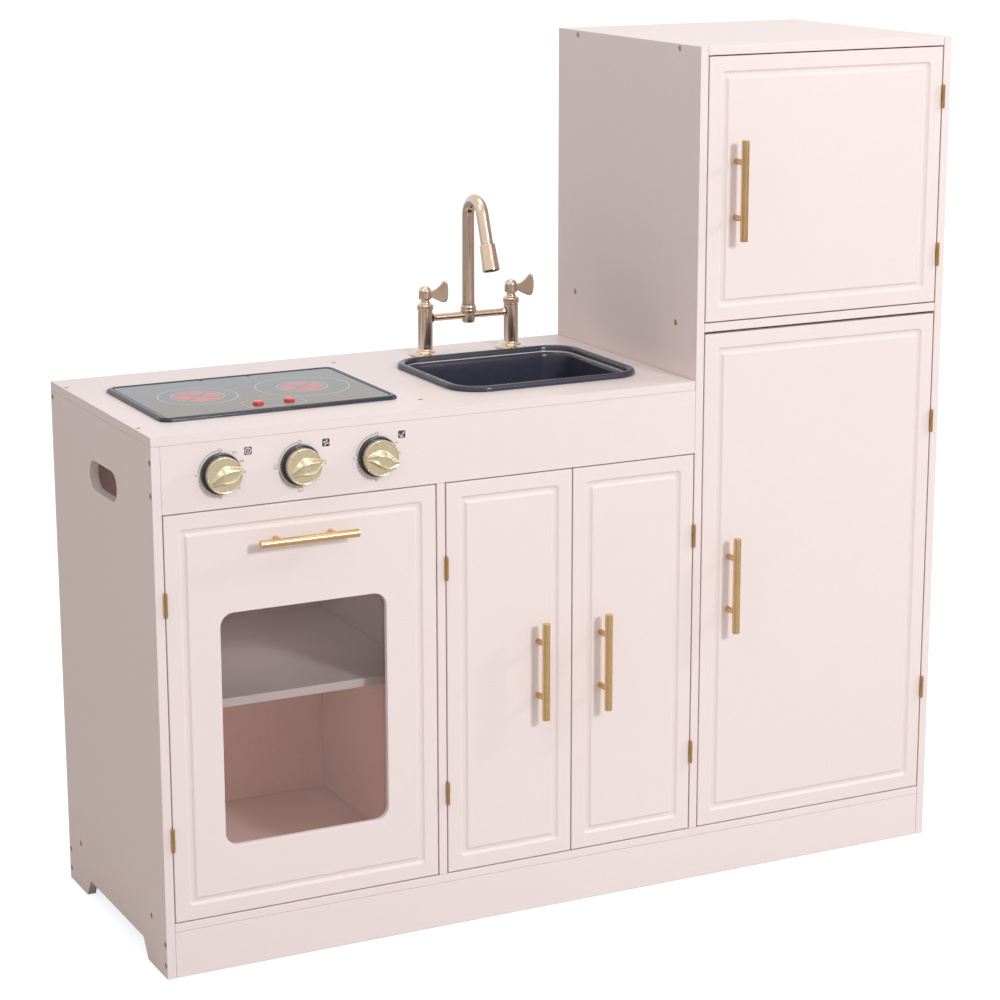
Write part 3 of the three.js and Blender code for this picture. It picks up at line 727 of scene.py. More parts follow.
for node in (
    "left_side_panel", "divider_panel", "fridge_left_panel", "fridge_right_panel", "base_panel",
    "front_plinth", "rear_plinth", "freezer_floor", "fridge_top_panel", "oven_shelf", "worktop",
    "control_panel",
):
    dress(node, blush)
for node in ("cabinet_back", "fridge_back"):
    dress(node, hardboard, 0.3)
dress("oven_window", clear_acrylic, 0.4)
dress("hob_plate", hob_glass, 0.25)
print("boards dressed,", screw_count, "screws")

# %% [markdown]
# ## Doors
# Each door is a board with a routed line near its edge, and the oven's has a window opening with a
# rebate behind it for the pane. A boolean could cut the line, but a row of rounded rectangles is
# cleaner: the rings go from the back round the edge, across the face, down and up through the
# hollow of the line, and on to the middle, or into the window.

# %% Doors
THICK = 10
EDGE = 0.8
LINE_INSET = 16.5
LINE_WIDTH = 9
LINE_DEPTH = 2.3
LINE_STEPS = 14
PANE_REBATE = 6.3
REBATE_FRONT = 6


def door_rings(node):
    low, high = span(node)
    centre = (low + high) / 2
    width, height = high.x - low.x, high.z - low.z

    def ring(inset, y, corner):
        return frontal(rounded(centre.x, centre.z, width - 2 * inset, height - 2 * inset, corner), y)

    rings = [ring(0.6, THICK, 0.6), ring(0, THICK - 0.6, 0.9), ring(0, EDGE, 0.9)]
    for step in range(1, 4):
        angle = math.pi / 2 * step / 3
        rings.append(ring(EDGE * (1 - math.cos(angle)), EDGE * (1 - math.sin(angle)), 0.9))
    for step in range(LINE_STEPS + 1):
        share = step / LINE_STEPS
        depth = LINE_DEPTH * math.sin(math.pi / 2 * min(1, share / 0.34, (1 - share) / 0.34)) ** 1.3
        rings.append(ring(LINE_INSET + LINE_WIDTH * share, depth, 4.4 - 3.4 * share))
    return rings


WINDOW_MIDDLE = middle("oven_window")
pane_low, pane_high = span("oven_window")
WINDOW_WIDTH = pane_high.x - pane_low.x - 12
WINDOW_HEIGHT = pane_high.z - pane_low.z - 12
WINDOW_CORNER = 15
WINDOW_STEPS = (
    (1.2, 0), (0.35, 0.35), (0, 1.2), (0, REBATE_FRONT), (PANE_REBATE, REBATE_FRONT), (PANE_REBATE, THICK),
)
DOORS = ("oven", "left_cupboard", "right_cupboard", "fridge", "freezer")
for door in DOORS:
    rings = door_rings(door + "_door")
    has_window = door == "oven"
    if has_window:
        for grow, y in WINDOW_STEPS:
            size = (WINDOW_WIDTH + 2 * grow, WINDOW_HEIGHT + 2 * grow, WINDOW_CORNER + grow)
            rings.append(frontal(rounded(WINDOW_MIDDLE.x, WINDOW_MIDDLE.z, *size), y))
    shape = Shape().loft(rings, closed=has_window)
    make(door + "_door_board", shape, [blush], door + "_door_body", [door + "_door"])
    print(door, "door of", len(rings), "rings")

# %% [markdown]
# ## Bar handles
# A handle is a gold bar on two thinner posts. Turned circles give the true round bar with its
# slightly broken end edges. One mesh serves all five handles: the oven's is the same handle turned
# to lie level, so the brushed streaks run along every bar.

# %% Bar handles
BAR = 4.5
POST = 3.4
POST_APART = 64
HALF_BAR = 57.5
REACH = 19.5
bar = Shape().loft(turned(
    [(BAR - 0.6, -HALF_BAR), (BAR - 0.18, 0.18 - HALF_BAR), (BAR, 0.6 - HALF_BAR),
     (BAR, HALF_BAR - 0.6), (BAR - 0.18, HALF_BAR - 0.18), (BAR - 0.6, HALF_BAR)],
    (0, 0, 0), UP, 48,
))
for end in (-1, 1):
    foot = (0, REACH, end * POST_APART / 2)
    bar.loft(turned([(POST, 0.05), (POST, REACH - BAR + 1.4)], foot, FRONT, 32))
handle_mesh = mesh_of("bar_handle", bar, [handle_gold])
for door in DOORS:
    node = door + "_handle"
    low, high = span(node)
    centre = ((low.x + high.x) / 2, -REACH, (low.z + high.z) / 2)
    turn = (0, math.pi / 2, 0) if high.x - low.x > high.z - low.z else None
    handle = soften(link(node + "_bar", handle_mesh, centre, turn))
    settle(handle, door + "_door_body", [node])
print("handle bar", 2 * BAR, "mm thick on posts", POST_APART, "mm apart")

# %% [markdown]
# ## Butt hinges
# Small brass butt hinges show as three knuckles in front of each door's hanging edge. The middle
# knuckle and the pin belong to the carcass, the outer two to the door, so each hinge is two pieces
# that ride on different bodies and share the pin's axis, which is the joint's own. Knuckles are
# rings with a real bore, so the pin is seen between them and nothing cuts through anything.

# %% Butt hinges
KNUCKLE = 1.8
BORE = 1.0
PIN = 0.85
HALF_HINGE = 13
HALF_MIDDLE = 4.2
LEAF = 9


def knuckle(shape, x, y, low, high):
    outside = [(KNUCKLE - 0.25, low), (KNUCKLE, low + 0.25), (KNUCKLE, high - 0.25), (KNUCKLE - 0.25, high)]
    shape.loft(turned(outside + [(BORE, high), (BORE, low)], (x, y, 0), UP, 28), closed=True)


def leaf(shape, x0, x1, tabs, z, screws_face):
    """A plate along the board's edge with tabs forward to the knuckles, and two flat screws."""
    shape.box((x0, 0.1, z - HALF_HINGE), (x1, LEAF, z + HALF_HINGE))
    for low, high in tabs:
        shape.box((x0, -2.2, z + low), (x1, 0.2, z + high))
    facing = RIGHT if screws_face > (x0 + x1) / 2 else -RIGHT
    for end in (-1, 1):
        place = (screws_face, 5, z + end * 7.5)
        shape.loft(turned([(1.6, -0.2), (1.6, 0.04), (1.3, 0.12)], place, facing, 18))


for door in DOORS:
    pin = axis_of(door + "_door_hinge")
    toward = 1 if middle(door + "_door").x > pin.x else -1
    for place in ("lower", "upper"):
        node = f"{door}_hinge_{place}_"
        z = middle(node + "frame").z
        fixed = Shape()
        knuckle(fixed, pin.x, pin.y, z - HALF_MIDDLE, z + HALF_MIDDLE)
        reach = HALF_HINGE + 0.3
        finial = [(0.7, -reach - 0.7), (1.3, -reach - 0.4), (1.5, -reach), (PIN, -reach), (PIN, reach),
                  (1.5, reach), (1.3, reach + 0.4), (0.7, reach + 0.7)]
        fixed.loft(turned(finial, (pin.x, pin.y, z), UP, 20))
        sides = sorted((pin.x - toward * 0.72, pin.x + toward * 0.15))
        leaf(fixed, *sides, [(-HALF_MIDDLE, HALF_MIDDLE)], z, pin.x + toward * 0.15)
        origin = (pin.x, pin.y, z)
        make(node + "pin", fixed, [brass], "cabinet", [node + "frame"], origin)
        moving = Shape()
        outer = [(-HALF_HINGE, -HALF_MIDDLE - 0.3), (HALF_MIDDLE + 0.3, HALF_HINGE)]
        for low, high in outer:
            knuckle(moving, pin.x, pin.y, z + low, z + high)
        sides = sorted((pin.x + toward * 0.45, pin.x + toward * 1.25))
        leaf(moving, *sides, outer, z, pin.x + toward * 0.45)
        make(node + "leaf", moving, [brass], door + "_door_body", [node + "door"], origin)
print("ten hinges on", len(DOORS), "doors")

# %% [markdown]
# ## Knobs
# A knob has a dark skirt against the panel and a gold drum whose face carries a ridge like a wave:
# its upper side slopes, its lower side drops, and one end runs out to a point at the rim. Such a
# face is a height over a disc, so it is made on rings and spokes, and at each point the higher of
# the rim and the ridge wins. Lines through a few measured points give the wave its edges.

# %% Knobs
KNOB = 20.0
FACE = 14.2
SKIRT = 22.5
SKIRT_FRONT = 5.2
RIDGE_UPPER = [(-17, -4.6), (-13.5, -2.6), (-7.3, 1.2), (0, 3.2), (6, 3.0), (12, 1.8), (18, 0.8), (21, 0.3)]
RIDGE_LOWER = [
    (-17, -6.4), (-13.5, -6.6), (-7, -6.4), (-2, -7.6), (5, -9.0), (10, -8.4), (15, -5.0), (19, -1.4),
    (21, -0.3),
]
RIDGE_CREST = [(-17, 0.0), (-14.5, 1.2), (-10, 3.4), (-4, 5.2), (4, 5.4), (21, 5.0)]
UPPER_SLOPE = [(-17, 3.0), (-12, 4.2), (-5, 5.6), (2, 6.0), (10, 4.6), (18, 2.2), (21, 1.4)]
LOWER_SLOPE = [(-17, 1.4), (-8, 2.4), (0, 2.4), (8, 1.6), (21, 1.2)]


def ridge_height(x, z):
    """How far the ridge stands out of the face at a point of it."""
    crest = through(RIDGE_CREST, x)
    upper, lower = through(RIDGE_UPPER, x), through(RIDGE_LOWER, x)
    if z > upper:
        away = (z - upper) / through(UPPER_SLOPE, x)
    elif z < lower:
        away = (lower - z) / through(LOWER_SLOPE, x)
    else:
        dip = (z - (upper + lower) / 2) / max(upper - lower, 1)
        return crest - 2.4 * (0.25 - dip * dip)
    away = min(away, 1)
    return crest * (1 - away * away * (3 - 2 * away))


def knob_shape():
    shape = Shape()
    spokes = 168
    rim = [(18.1, -0.55), (18.5, -0.5), (18.8, -0.15), (19.2, 0.0), (19.6, -0.08), (19.88, -0.35)]
    rows = [(18.0 * (i + 1) / 62, -0.55) for i in range(62)] + rim + [(20.0, -0.8)]
    rings = []
    for radius, height in rows:
        ring = []
        for spoke in range(spokes):
            angle = 2 * math.pi * spoke / spokes
            x, z = radius * math.cos(angle), radius * math.sin(angle)
            point = max(0.0, 1 - abs(angle if angle < math.pi else angle - 2 * math.pi) / 0.16)
            out = 1 + 0.022 * point * point * (radius / KNOB) ** 4
            stands = max(height, ridge_height(x, z) - 0.55)
            ring.append((x * out, -FACE - stands, z * out))
        rings.append(ring)
    rings.append([(x, -SKIRT_FRONT + 0.2, z) for x, y, z in rings[-1]])
    return shape.loft(rings)


def skirt_shape():
    profile = [(3, -15), (3, 0.3), (SKIRT, 0.3), (SKIRT, 4.2), (SKIRT - 0.3, 4.9), (SKIRT - 1, SKIRT_FRONT),
               (KNOB + 0.6, SKIRT_FRONT), (KNOB + 0.3, SKIRT_FRONT - 0.6), (6, SKIRT_FRONT - 0.6)]
    return Shape().loft(turned(profile, (0, 0, 0), FRONT, 64))


knob_mesh = mesh_of("knob_drum", knob_shape(), [knob_gold], 50)
skirt_mesh = mesh_of("knob_skirt", skirt_shape(), [skirt_navy])
KNOB_TURN = {"knob_left": -15, "knob_middle": -11.5, "knob_right": 21}
for node, angle in KNOB_TURN.items():
    axis = axis_of(node + "_turn")
    origin = (axis.x, 0, axis.z)
    drum = soften(link(node + "_drum", knob_mesh, origin, (0, math.radians(angle), 0)))
    settle(drum, node + "_body", [node])
    settle(soften(link(node + "_skirt", skirt_mesh, origin)), node + "_body")
print("knob drum of", len(knob_mesh.vertices), "points")

# %% [markdown]
# ## Dial print
# Round each knob a thin line runs from a small circle at the top down the left side, with dots or
# marks and numbers after it, and a dark little sign stands at the upper right. Ink has almost no
# thickness, but real geometry keeps its edges sharp from any distance: ribbons and letters a few
# hundredths of a millimetre thick lie on the panel. The numbers are Blender's own font, turned
# into a mesh.

# %% Ribbons and letters of ink
INK = 0.05


def ribbon(shape, pairs, width, look=0, closed=False):
    """A flat line of ink along (x, z) pairs."""
    rings = []
    for i, (x, z) in enumerate(pairs):
        before = pairs[i - 1] if i or closed else pairs[0]
        after = pairs[(i + 1) % len(pairs)] if i + 1 < len(pairs) or closed else pairs[-1]
        run = Vector((after[0] - before[0], after[1] - before[1])).normalized() * width / 2
        left, right = (x - run.y, z + run.x), (x + run.y, z - run.x)
        rings.append([(left[0], 0.01, left[1]), (right[0], 0.01, right[1]),
                      (right[0], -INK, right[1]), (left[0], -INK, left[1])])
    shape.loft(rings, look, closed=closed)


def tile(shape, x, z, width, height, corner, front, look=0):
    outline = rounded(x, z, width, height, corner, 4)
    shape.loft([frontal(outline, 0.01), frontal(outline, -front)], look)


def letters(shape, text, x, z, height, look=0):
    """Raised letters about (x, z), from the default font."""
    curve = bpy.data.curves.new("lettering", "FONT")
    curve.body = text
    curve.size = height
    curve.extrude = INK / 2
    curve.resolution_u = 3
    curve.align_x = "CENTER"
    curve.align_y = "CENTER"
    holder = bpy.data.objects.new("lettering", curve)
    mesh = bpy.data.meshes.new_from_object(holder)
    first = len(shape.points)
    shape.points.extend(Vector((x + v.co.x, -INK / 2 - v.co.z, z + v.co.y)) for v in mesh.vertices)
    for polygon in mesh.polygons:
        shape.face([first + i for i in polygon.vertices], look)
    bpy.data.objects.remove(holder)
    bpy.data.curves.remove(curve)
    bpy.data.meshes.remove(mesh)


def on_dial(degrees, reach, axis):
    """A point on the dial round a knob's axis, measured clockwise from the top."""
    angle = math.radians(90 - degrees)
    return axis.x + reach * math.cos(angle), axis.z + reach * math.sin(angle)


# %% The three dials
DIAL = 24.9
NUMBERS = {
    "knob_left": [(38, "250"), (66, "200"), (92, "150"), (132, "100"), (-178, "50")],
    "knob_middle": [],
    "knob_right": [(62, "10"), (88, "15"), (128, "30"), (-178, "60")],
}
for node in KNOB_TURN:
    axis = axis_of(node + "_turn")
    ink = Shape()
    ribbon(ink, [on_dial(-4 - i * 2.9, DIAL, axis) for i in range(29)], 0.55)
    ribbon(ink, hoop(axis.x, axis.z + DIAL, 1.7, 20), 0.5, closed=True)
    if NUMBERS[node]:
        for step in range(9):
            tile(ink, *on_dial(-96 - step * 9.5, DIAL - 0.3, axis), 1.0, 1.0, 0.45, INK)
        for degrees, text in NUMBERS[node]:
            letters(ink, text, *on_dial(degrees, DIAL + 1.8, axis), 3.6)
        letters(ink, "0", *on_dial(-90, DIAL + 2.4, axis), 3.6)
    else:
        ribbon(ink, [on_dial(-100 - i * 3, DIAL, axis) for i in range(24)], 0.55)
        for degrees in (-90, 90, 180):
            x, z = on_dial(degrees, DIAL + 2.5, axis)
            ribbon(ink, rounded(x, z, 5.4, 4.2, 0.8, 3), 0.4, closed=True)
            ribbon(ink, [(x - 1.5, z - 0.8), (x + 1.5, z - 0.8)], 0.4)
    make(node + "_dial_ink", ink, [grey_ink], "cabinet")

# %% The little signs
SIGN = 8.6
SIGN_PLACES = {"knob_left": 108.6, "knob_middle": 198.4, "knob_right": 288.2}
SIGN_Z = 583.2


def petals(shape, x, z):
    for quarter in range(4):
        angle = math.pi / 4 + quarter * math.pi / 2
        run = []
        for r in (0.9, 1.8, 2.7, 3.4):
            bend = angle + (r - 1) * 0.25
            run.append((x + r * math.cos(bend), z + r * math.sin(bend)))
        ribbon_on(shape, run, 1.1)


def ribbon_on(shape, pairs, width, closed=False):
    """A pale line that lies on top of the dark tile."""
    first = len(shape.points)
    ribbon(shape, pairs, width, 1, closed)
    for point in shape.points[first:]:
        point.y -= INK


for node, x in SIGN_PLACES.items():
    z = SIGN_Z
    sign = Shape()
    tile(sign, x, z, SIGN, SIGN, 1.3, INK)
    if node == "knob_left":
        ribbon_on(sign, hoop(x, z, 3.1), 0.9, True)
        ribbon_on(sign, hoop(x, z, 0.9, 12), 0.6, True)
    elif node == "knob_middle":
        petals(sign, x, z)
    else:
        ribbon_on(sign, [(x - 3, z + 0.6), (x - 0.8, z - 2.4), (x + 3, z + 2.8)], 1.0)
        ribbon_on(sign, [(x - 2.6, z - 3), (x + 2.8, z - 3)], 0.6)
    make(node + "_sign", sign, [dark_ink, pale_ink], "cabinet")
print("dials printed round", len(KNOB_TURN), "knobs")

# %% [markdown]
# ## Hob
# The hob is a black tray with a raised, bevelled edge that holds the printed plate. The tray is a
# row of flat rounded rectangles: up its outer bevel, over the top, and down inside to the plate.
# Two red domes stand through the plate: they slide down when they are pressed.

# %% Hob tray and buttons
tray_low, tray_high = span("hob_tray")
tray_middle = (tray_low + tray_high) / 2
tray_size = tray_high - tray_low
tray_rings = []
TRAY_CORNER = 12
for inset, z in (
    (0.4, 0), (0, 0.3), (0, 1.6), (0.35, 2.3), (1.2, 3.2), (2.2, 3.9), (3.2, 4.2), (4.6, 4.2), (5.8, 3.9),
    (6.7, 3.2), (7.3, 2.6), (7.4, 1.3),
):
    outline = rounded(tray_middle.x, tray_middle.y, tray_size.x - 2 * inset, tray_size.y - 2 * inset,
                      TRAY_CORNER - 0.7 * inset, 8)
    tray_rings.append(level(outline, tray_low.z + z))
tray = Shape().loft(tray_rings)
clip_y = tray_high.y - 6.2
for clip_x in (150, 208):
    tray.loft(slab((
        (clip_x, clip_y, 5, 4.2, 1.6, tray_low.z + 2.7), (clip_x, clip_y, 5, 4.2, 1.6, tray_high.z - 0.2),
        (clip_x, clip_y, 4.2, 3.4, 1.3, tray_high.z),
    ), 8))
make("hob_frame", tray, [navy_gloss], "cabinet", ["hob_tray"])

DOME = (
    (2.5, 5.6), (6, 5.6), (6, 1.9), (5.8, 1.2), (5.3, 0.65), (4.5, 0.25), (3.4, 0.05), (2.4, 0), (0.4, 0),
)
for side in ("left", "right"):
    node = "hob_button_" + side
    low, high = span(node)
    centre = (low + high) / 2
    top = high.z
    profile = [(2.5, low.z)] + [(reach, top - below) for reach, below in DOME]
    dome = Shape().loft(turned(profile, (centre.x, centre.y, 0), UP, 40))
    origin = (centre.x, centre.y, top)
    make(node + "_dome", dome, [red_plastic], node + "_body", [node], origin)
print("hob tray", round(tray_size.x), "by", round(tray_size.y), "mm")

# %% [markdown]
# ## Sound box under the hob
# The buttons press switches in a small closed box under the worktop. It shows only through the
# open oven door, as a moulded box with a battery lid and a few slots for the sound.

# %% Sound box
low, high = span("hob_module")
centre = (low + high) / 2
sound_box = Shape()
width, depth = high.x - low.x, high.y - low.y
sound_box.loft(slab([
    (centre.x, centre.y, width - 2 * inset, depth - 2 * inset, 3, z)
    for inset, z in ((0, high.z), (0, low.z + 2.4), (0.5, low.z + 1.4), (2.0, low.z + 0.8))
]))
lid = (centre.x - 14, centre.y)
sound_box.loft(slab((
    (*lid, 42, 34, 2, low.z + 0.9), (*lid, 42, 34, 2, low.z + 0.2), (*lid, 40.6, 32.6, 1.6, low.z),
)))
for slot_index in range(5):
    slot_place = (centre.x + 22, centre.y - 12 + slot_index * 6)
    sound_box.loft(slab(((*slot_place, 18, 2, 0.9, low.z + 0.9), (*slot_place, 17.6, 1.6, 0.7, low.z + 0.3))))
make("sound_box", sound_box, [skirt_navy], "cabinet", ["hob_module"])

# %% [markdown]
# ## Sink
# The sink is one glossy moulding: a rolled rim lies on the worktop, the walls lean in a little and
# run through a generous fillet into the floor, where a shallow round drain is moulded. All of it
# is again a row of rounded rectangles that lie flat. Near the drain the corners are so round that
# the rectangle is a circle. The underside follows 2 mm below, so the shell is closed.

# %% Sink
sink_low, sink_high = span("sink_basin")
sink_middle = (sink_low + sink_high) / 2
sink_width, sink_depth = sink_high.x - sink_low.x, sink_high.y - sink_low.y
SINK_CORNER = 40
FLOOR_Z = sink_low.z + 2


def sink_ring(inset, z, corner):
    size = (sink_width - 2 * inset, sink_depth - 2 * inset)
    return level(rounded(sink_middle.x, sink_middle.y, *size, corner, 12), z)


def drain_ring(reach, z):
    return level(rounded(sink_middle.x, sink_middle.y, 2 * reach, 2 * reach, reach, 12), z)


top = sink_high.z
rings = [sink_ring(inset, z, SINK_CORNER) for inset, z in ((0.5, 608.3), (0, 608.9), (0, 610.4))]
for step in range(1, 10):
    angle = math.pi * step / 10
    inset = 4.6 - 4.6 * math.cos(angle)
    rings.append(sink_ring(inset, 610.4 + (top - 610.4) * math.sin(angle) ** 0.7, SINK_CORNER - inset))
for inset, z in ((9.3, 609.8), (9.6, 608.0), (10.2, 606.6), (10.9, 605.6), (11.5, 604.7), (12.0, 603.6)):
    rings.append(sink_ring(inset, z, SINK_CORNER - inset))
WALL_TOP, WALL_END = 12.4, 18.6
for step in range(6):
    share = step / 5
    inset = WALL_TOP + (WALL_END - WALL_TOP) * share
    rings.append(sink_ring(inset, 602 + (FLOOR_Z + 15 - 602) * share, SINK_CORNER - inset))
for step in range(1, 7):
    angle = math.pi / 2 * step / 6
    inset, z = WALL_END + 14 * (1 - math.cos(angle)), FLOOR_Z + 15 * (1 - math.sin(angle))
    rings.append(sink_ring(inset, z, 21.4 - step))
DRAIN = (
    (19, -0.3), (18, -0.5), (17.2, -1.1), (12, -1.25), (11.4, -0.7), (10.8, -0.6), (4, -0.7), (3.4, -1.2),
    (0.6, -1.3),
)
for reach, z in DRAIN:
    rings.append(drain_ring(reach, FLOOR_Z + z))
under = [drain_ring(0.6, sink_low.z), drain_ring(18, sink_low.z), sink_ring(33, sink_low.z, 15),
         sink_ring(23, sink_low.z + 3, 19), sink_ring(16.8, sink_low.z + 14, 22), sink_ring(11.2, 600, 28),
         sink_ring(10.4, 605.6, 29), sink_ring(8.2, 606.4, 31), sink_ring(7.6, 608.3, 32)]
basin = Shape().loft(rings + under, closed=True)
make("sink_bowl", basin, [sink_navy_and_painted_sheen], "cabinet", ["sink_basin"], crease=50)
print("sink of", len(rings + under), "rings,", round(sink_width), "by", round(sink_depth), "mm")

# %% [markdown]
# ## Tap columns and bridge
# The tap is a bridge tap: two columns on domed flanges, joined by a tube that carries a boss and
# the spout's collar in its middle. Every one of these is turned work, so a profile of radius and
# height pairs holds the whole shape: the flange's dome, the groove and bead under the top, the
# tapering neck.

# %% Tap columns and bridge
tap_spout_axis = axis_of("spout_swivel")
tap_base = span("tap_column_left")[0].z
tap_top = span("tap_column_left")[1].z
COLUMN = 8.8
FLANGE = [
    (18.9, 0), (19.5, 0.3), (19.5, 1.2), (19.1, 1.8), (18.1, 2.2), (15.4, 2.7), (13.4, 3.3), (12.6, 4.0),
    (12.3, 4.8), (11.7, 5.3), (10.2, 5.8), (9.2, 6.6), (COLUMN, 7.8),
]
BELOW_TOP = [
    (COLUMN, 17.4), (8.4, 17.0), (8.4, 16.4), (9.2, 16.0), (9.9, 15.4), (10.0, 14.6), (9.9, 13.8),
    (9.3, 13.4), (9.3, 12.9), (9.9, 12.5), (10.0, 11.6), (9.9, 10.3), (9.3, 9.5), (8.2, 8.9), (7.0, 8.4), (6.5, 7.6),
    (6.4, 6.8), (5.6, 6.2), (5.2, 5.4), (5.2, 0),
]
height = tap_top - tap_base
column_profile = FLANGE + [(reach, height - below) for reach, below in BELOW_TOP]
bridge_z = 652.5
for side in ("left", "right"):
    node = "tap_column_" + side
    centre = middle(node)
    base = (centre.x, centre.y, tap_base)
    post = Shape().loft(turned(column_profile, base, UP, 56))
    make(node + "_post", post, [champagne], "cabinet", [node], base)

bridge = Shape()
bridge_low, bridge_high = span("tap_bridge")
bridge_y = tap_spout_axis.y
tube_half = (bridge_high.x - bridge_low.x) / 2
tube = [(5.6, -tube_half), (5.0, 0.6 - tube_half), (4.5, 1.8 - tube_half), (4.4, 4 - tube_half)]
bridge_middle = (tap_spout_axis.x, bridge_y, bridge_z)
bridge.loft(turned(tube + [(r, -h) for r, h in reversed(tube)], bridge_middle, RIGHT, 36))
boss = [
    (2.0, -10.0), (5.2, -9.7), (6.9, -8.9), (7.6, -7.8), (7.8, -6.4), (7.8, 3.0), (8.4, 3.6), (9.5, 4.1),
    (9.8, 4.7), (9.8, 6.8), (9.5, 7.3), (8.9, 7.6), (8.9, 8.0), (9.3, 8.3), (9.4, 9.0), (9.4, 10.4),
    (9.2, 10.9), (8.6, 11.3), (8.4, 11.8), (8.4, 13.5), (8.0, 13.5), (6.5, 13.5),
]
bridge.loft(turned(boss, bridge_middle, UP, 56))
make("tap_bridge_tube", bridge, [champagne], "cabinet", ["tap_bridge"], bridge_middle)

# %% [markdown]
# ## Spout and spray head
# The spout is one pipe that rises, bends over and leans outwards as it comes down, so its rings
# follow a path: up, round an arc, and along the slanting arm. The spray head is turned work about
# the arm's direction, set off by a dark groove, with a perforated face.

# %% Spout and spray head
PIPE = 7.5
BEND = 20
BEND_Z = 773.5
LEAN = math.radians(20)
ARM = 37
spout_base = Vector((tap_spout_axis.x, tap_spout_axis.y, 0))
foot_z = span("tap_spout")[0].z
path = [(Vector((0, 0, z)), UP) for z in (foot_z, foot_z + 30, foot_z + 60, foot_z + 90, BEND_Z - 6)]
for step in range(25):
    angle = (math.pi - LEAN) * step / 24
    point = Vector((0, -BEND * (1 - math.cos(angle)), BEND_Z + BEND * math.sin(angle)))
    path.append((point, Vector((0, -math.sin(angle), math.cos(angle)))))
down = Vector((0, -math.sin(LEAN), -math.cos(LEAN)))
bend_end = path[-1][0]
path += [(bend_end + down * (ARM * share), down) for share in (0.25, 0.5, 0.75, 1.0)]
pipe_rings = [turned([(PIPE, 0)], spout_base + point, along, 44)[0] for point, along in path]
spout = Shape().loft(pipe_rings)
arm_end = spout_base + bend_end + down * ARM
spray_profile = [
    (6.6, -0.4), (6.6, 1.0), (8.7, 1.0), (9.2, 1.3), (9.4, 2.0), (9.6, 10), (10.0, 22), (10.4, 31.6),
    (10.3, 32.6), (9.9, 33), (9.3, 33), (9.0, 32.2),
]
spout.loft(turned(spray_profile, arm_end, down, 48))
spout_origin = (spout_base.x, spout_base.y, foot_z)
make("tap_spout_pipe", spout, [champagne], "spout_body", ["tap_spout"], spout_origin)
rose = Shape().loft(turned([(9.15, 31.6), (9.0, 32.35), (1.0, 32.6)], arm_end, down, 40))
for ring_reach, nubs in ((2.4, 5), (4.8, 10), (7.0, 15)):
    for nub in range(nubs):
        angle = 2 * math.pi * nub / nubs
        side = RIGHT * math.cos(angle) + down.cross(RIGHT) * math.sin(angle)
        rose.loft(turned([(0.62, 32.2), (0.62, 32.9), (0.4, 33.1)], arm_end + side * ring_reach, down, 10))
make("tap_spray_rose", rose, [skirt_navy], "spout_body", (), tuple(arm_end))
print("spout follows", len(path), "steps")

# %% [markdown]
# ## Tap levers
# Each column carries a barrel with a chamfered top and one wing shaped like an axe: narrow where it
# leaves the barrel, hollow along its edges and wide at its slanted end. Its outline is a smooth
# closed curve, and a small round takes its edge over to the flat faces.

# %% Tap levers
HUB = [
    (5.4, 0), (6.8, 0.2), (7.5, 0.8), (7.8, 1.8), (7.8, 10.4), (7.5, 11.6), (6.6, 13.2), (5.4, 14.6),
    (4.4, 15.3), (3.0, 15.6), (0.4, 15.6),
]
WING_UPPER = [(4.0, 2.6), (7.4, 3.0), (12.6, 5.0), (17.9, 9.8), (21.0, 14.0), (22.4, 15.2), (23.8, 15.5)]
WING_END = [
    (25.2, 15.0), (26.6, 13.2), (27.4, 10.4), (27.9, 6.0), (28.0, 0.0), (27.6, -5.0), (26.6, -9.0),
    (25.0, -11.0),
]
WING_LOWER = [(22.8, -11.4), (20.0, -11.0), (16.4, -9.6), (12.6, -7.8), (7.4, -5.2), (4.0, -4.2)]
WING_HALF = 1.9
WING_ROUND = (
    (1.3, -1.0), (0.6, -0.86), (0.15, -0.6), (0, -0.25), (0, 0.25), (0.15, 0.6), (0.6, 0.86), (1.3, 1.0),
)


def inset_outline(pairs, amount):
    """The outline moved inwards by an amount; the pairs run clockwise."""
    moved = []
    for i, (x, z) in enumerate(pairs):
        before, after = pairs[i - 1], pairs[(i + 1) % len(pairs)]
        run = Vector((after[0] - before[0], after[1] - before[1])).normalized()
        moved.append((x + run.y * amount, z - run.x * amount))
    return moved


wing_outline = WING_UPPER + WING_END + WING_LOWER
LEVER_TURN = Matrix.Rotation(math.radians(-30), 3, "Z")
for side in ("left", "right"):
    node = "tap_lever_" + side
    axis = axis_of(node + "_turn")
    base = Vector((axis.x, axis.y, span(node)[0].z))
    lever = Shape().loft(turned(HUB, base, UP, 48))
    hub_middle = base + Vector((0, 0, 7.8))
    sections = []
    for inset, y in WING_ROUND:
        outline = inset_outline(wing_outline, inset)
        sections.append([hub_middle + LEVER_TURN @ Vector((x, WING_HALF * y, z)) for x, z in outline])
    lever.loft(sections)
    make(node + "_wing", lever, [champagne], node + "_body", [node], tuple(base), crease=40)
print("wings of", len(wing_outline), "points")

# %% [markdown]
# ## Magnetic catches
# Doors that small close on magnetic catches: a white block on the board behind the door's free
# edge, and a thin steel plate on the door. They show only when a door is open, so they are plain,
# but each block has its rounded edges and two steel poles.

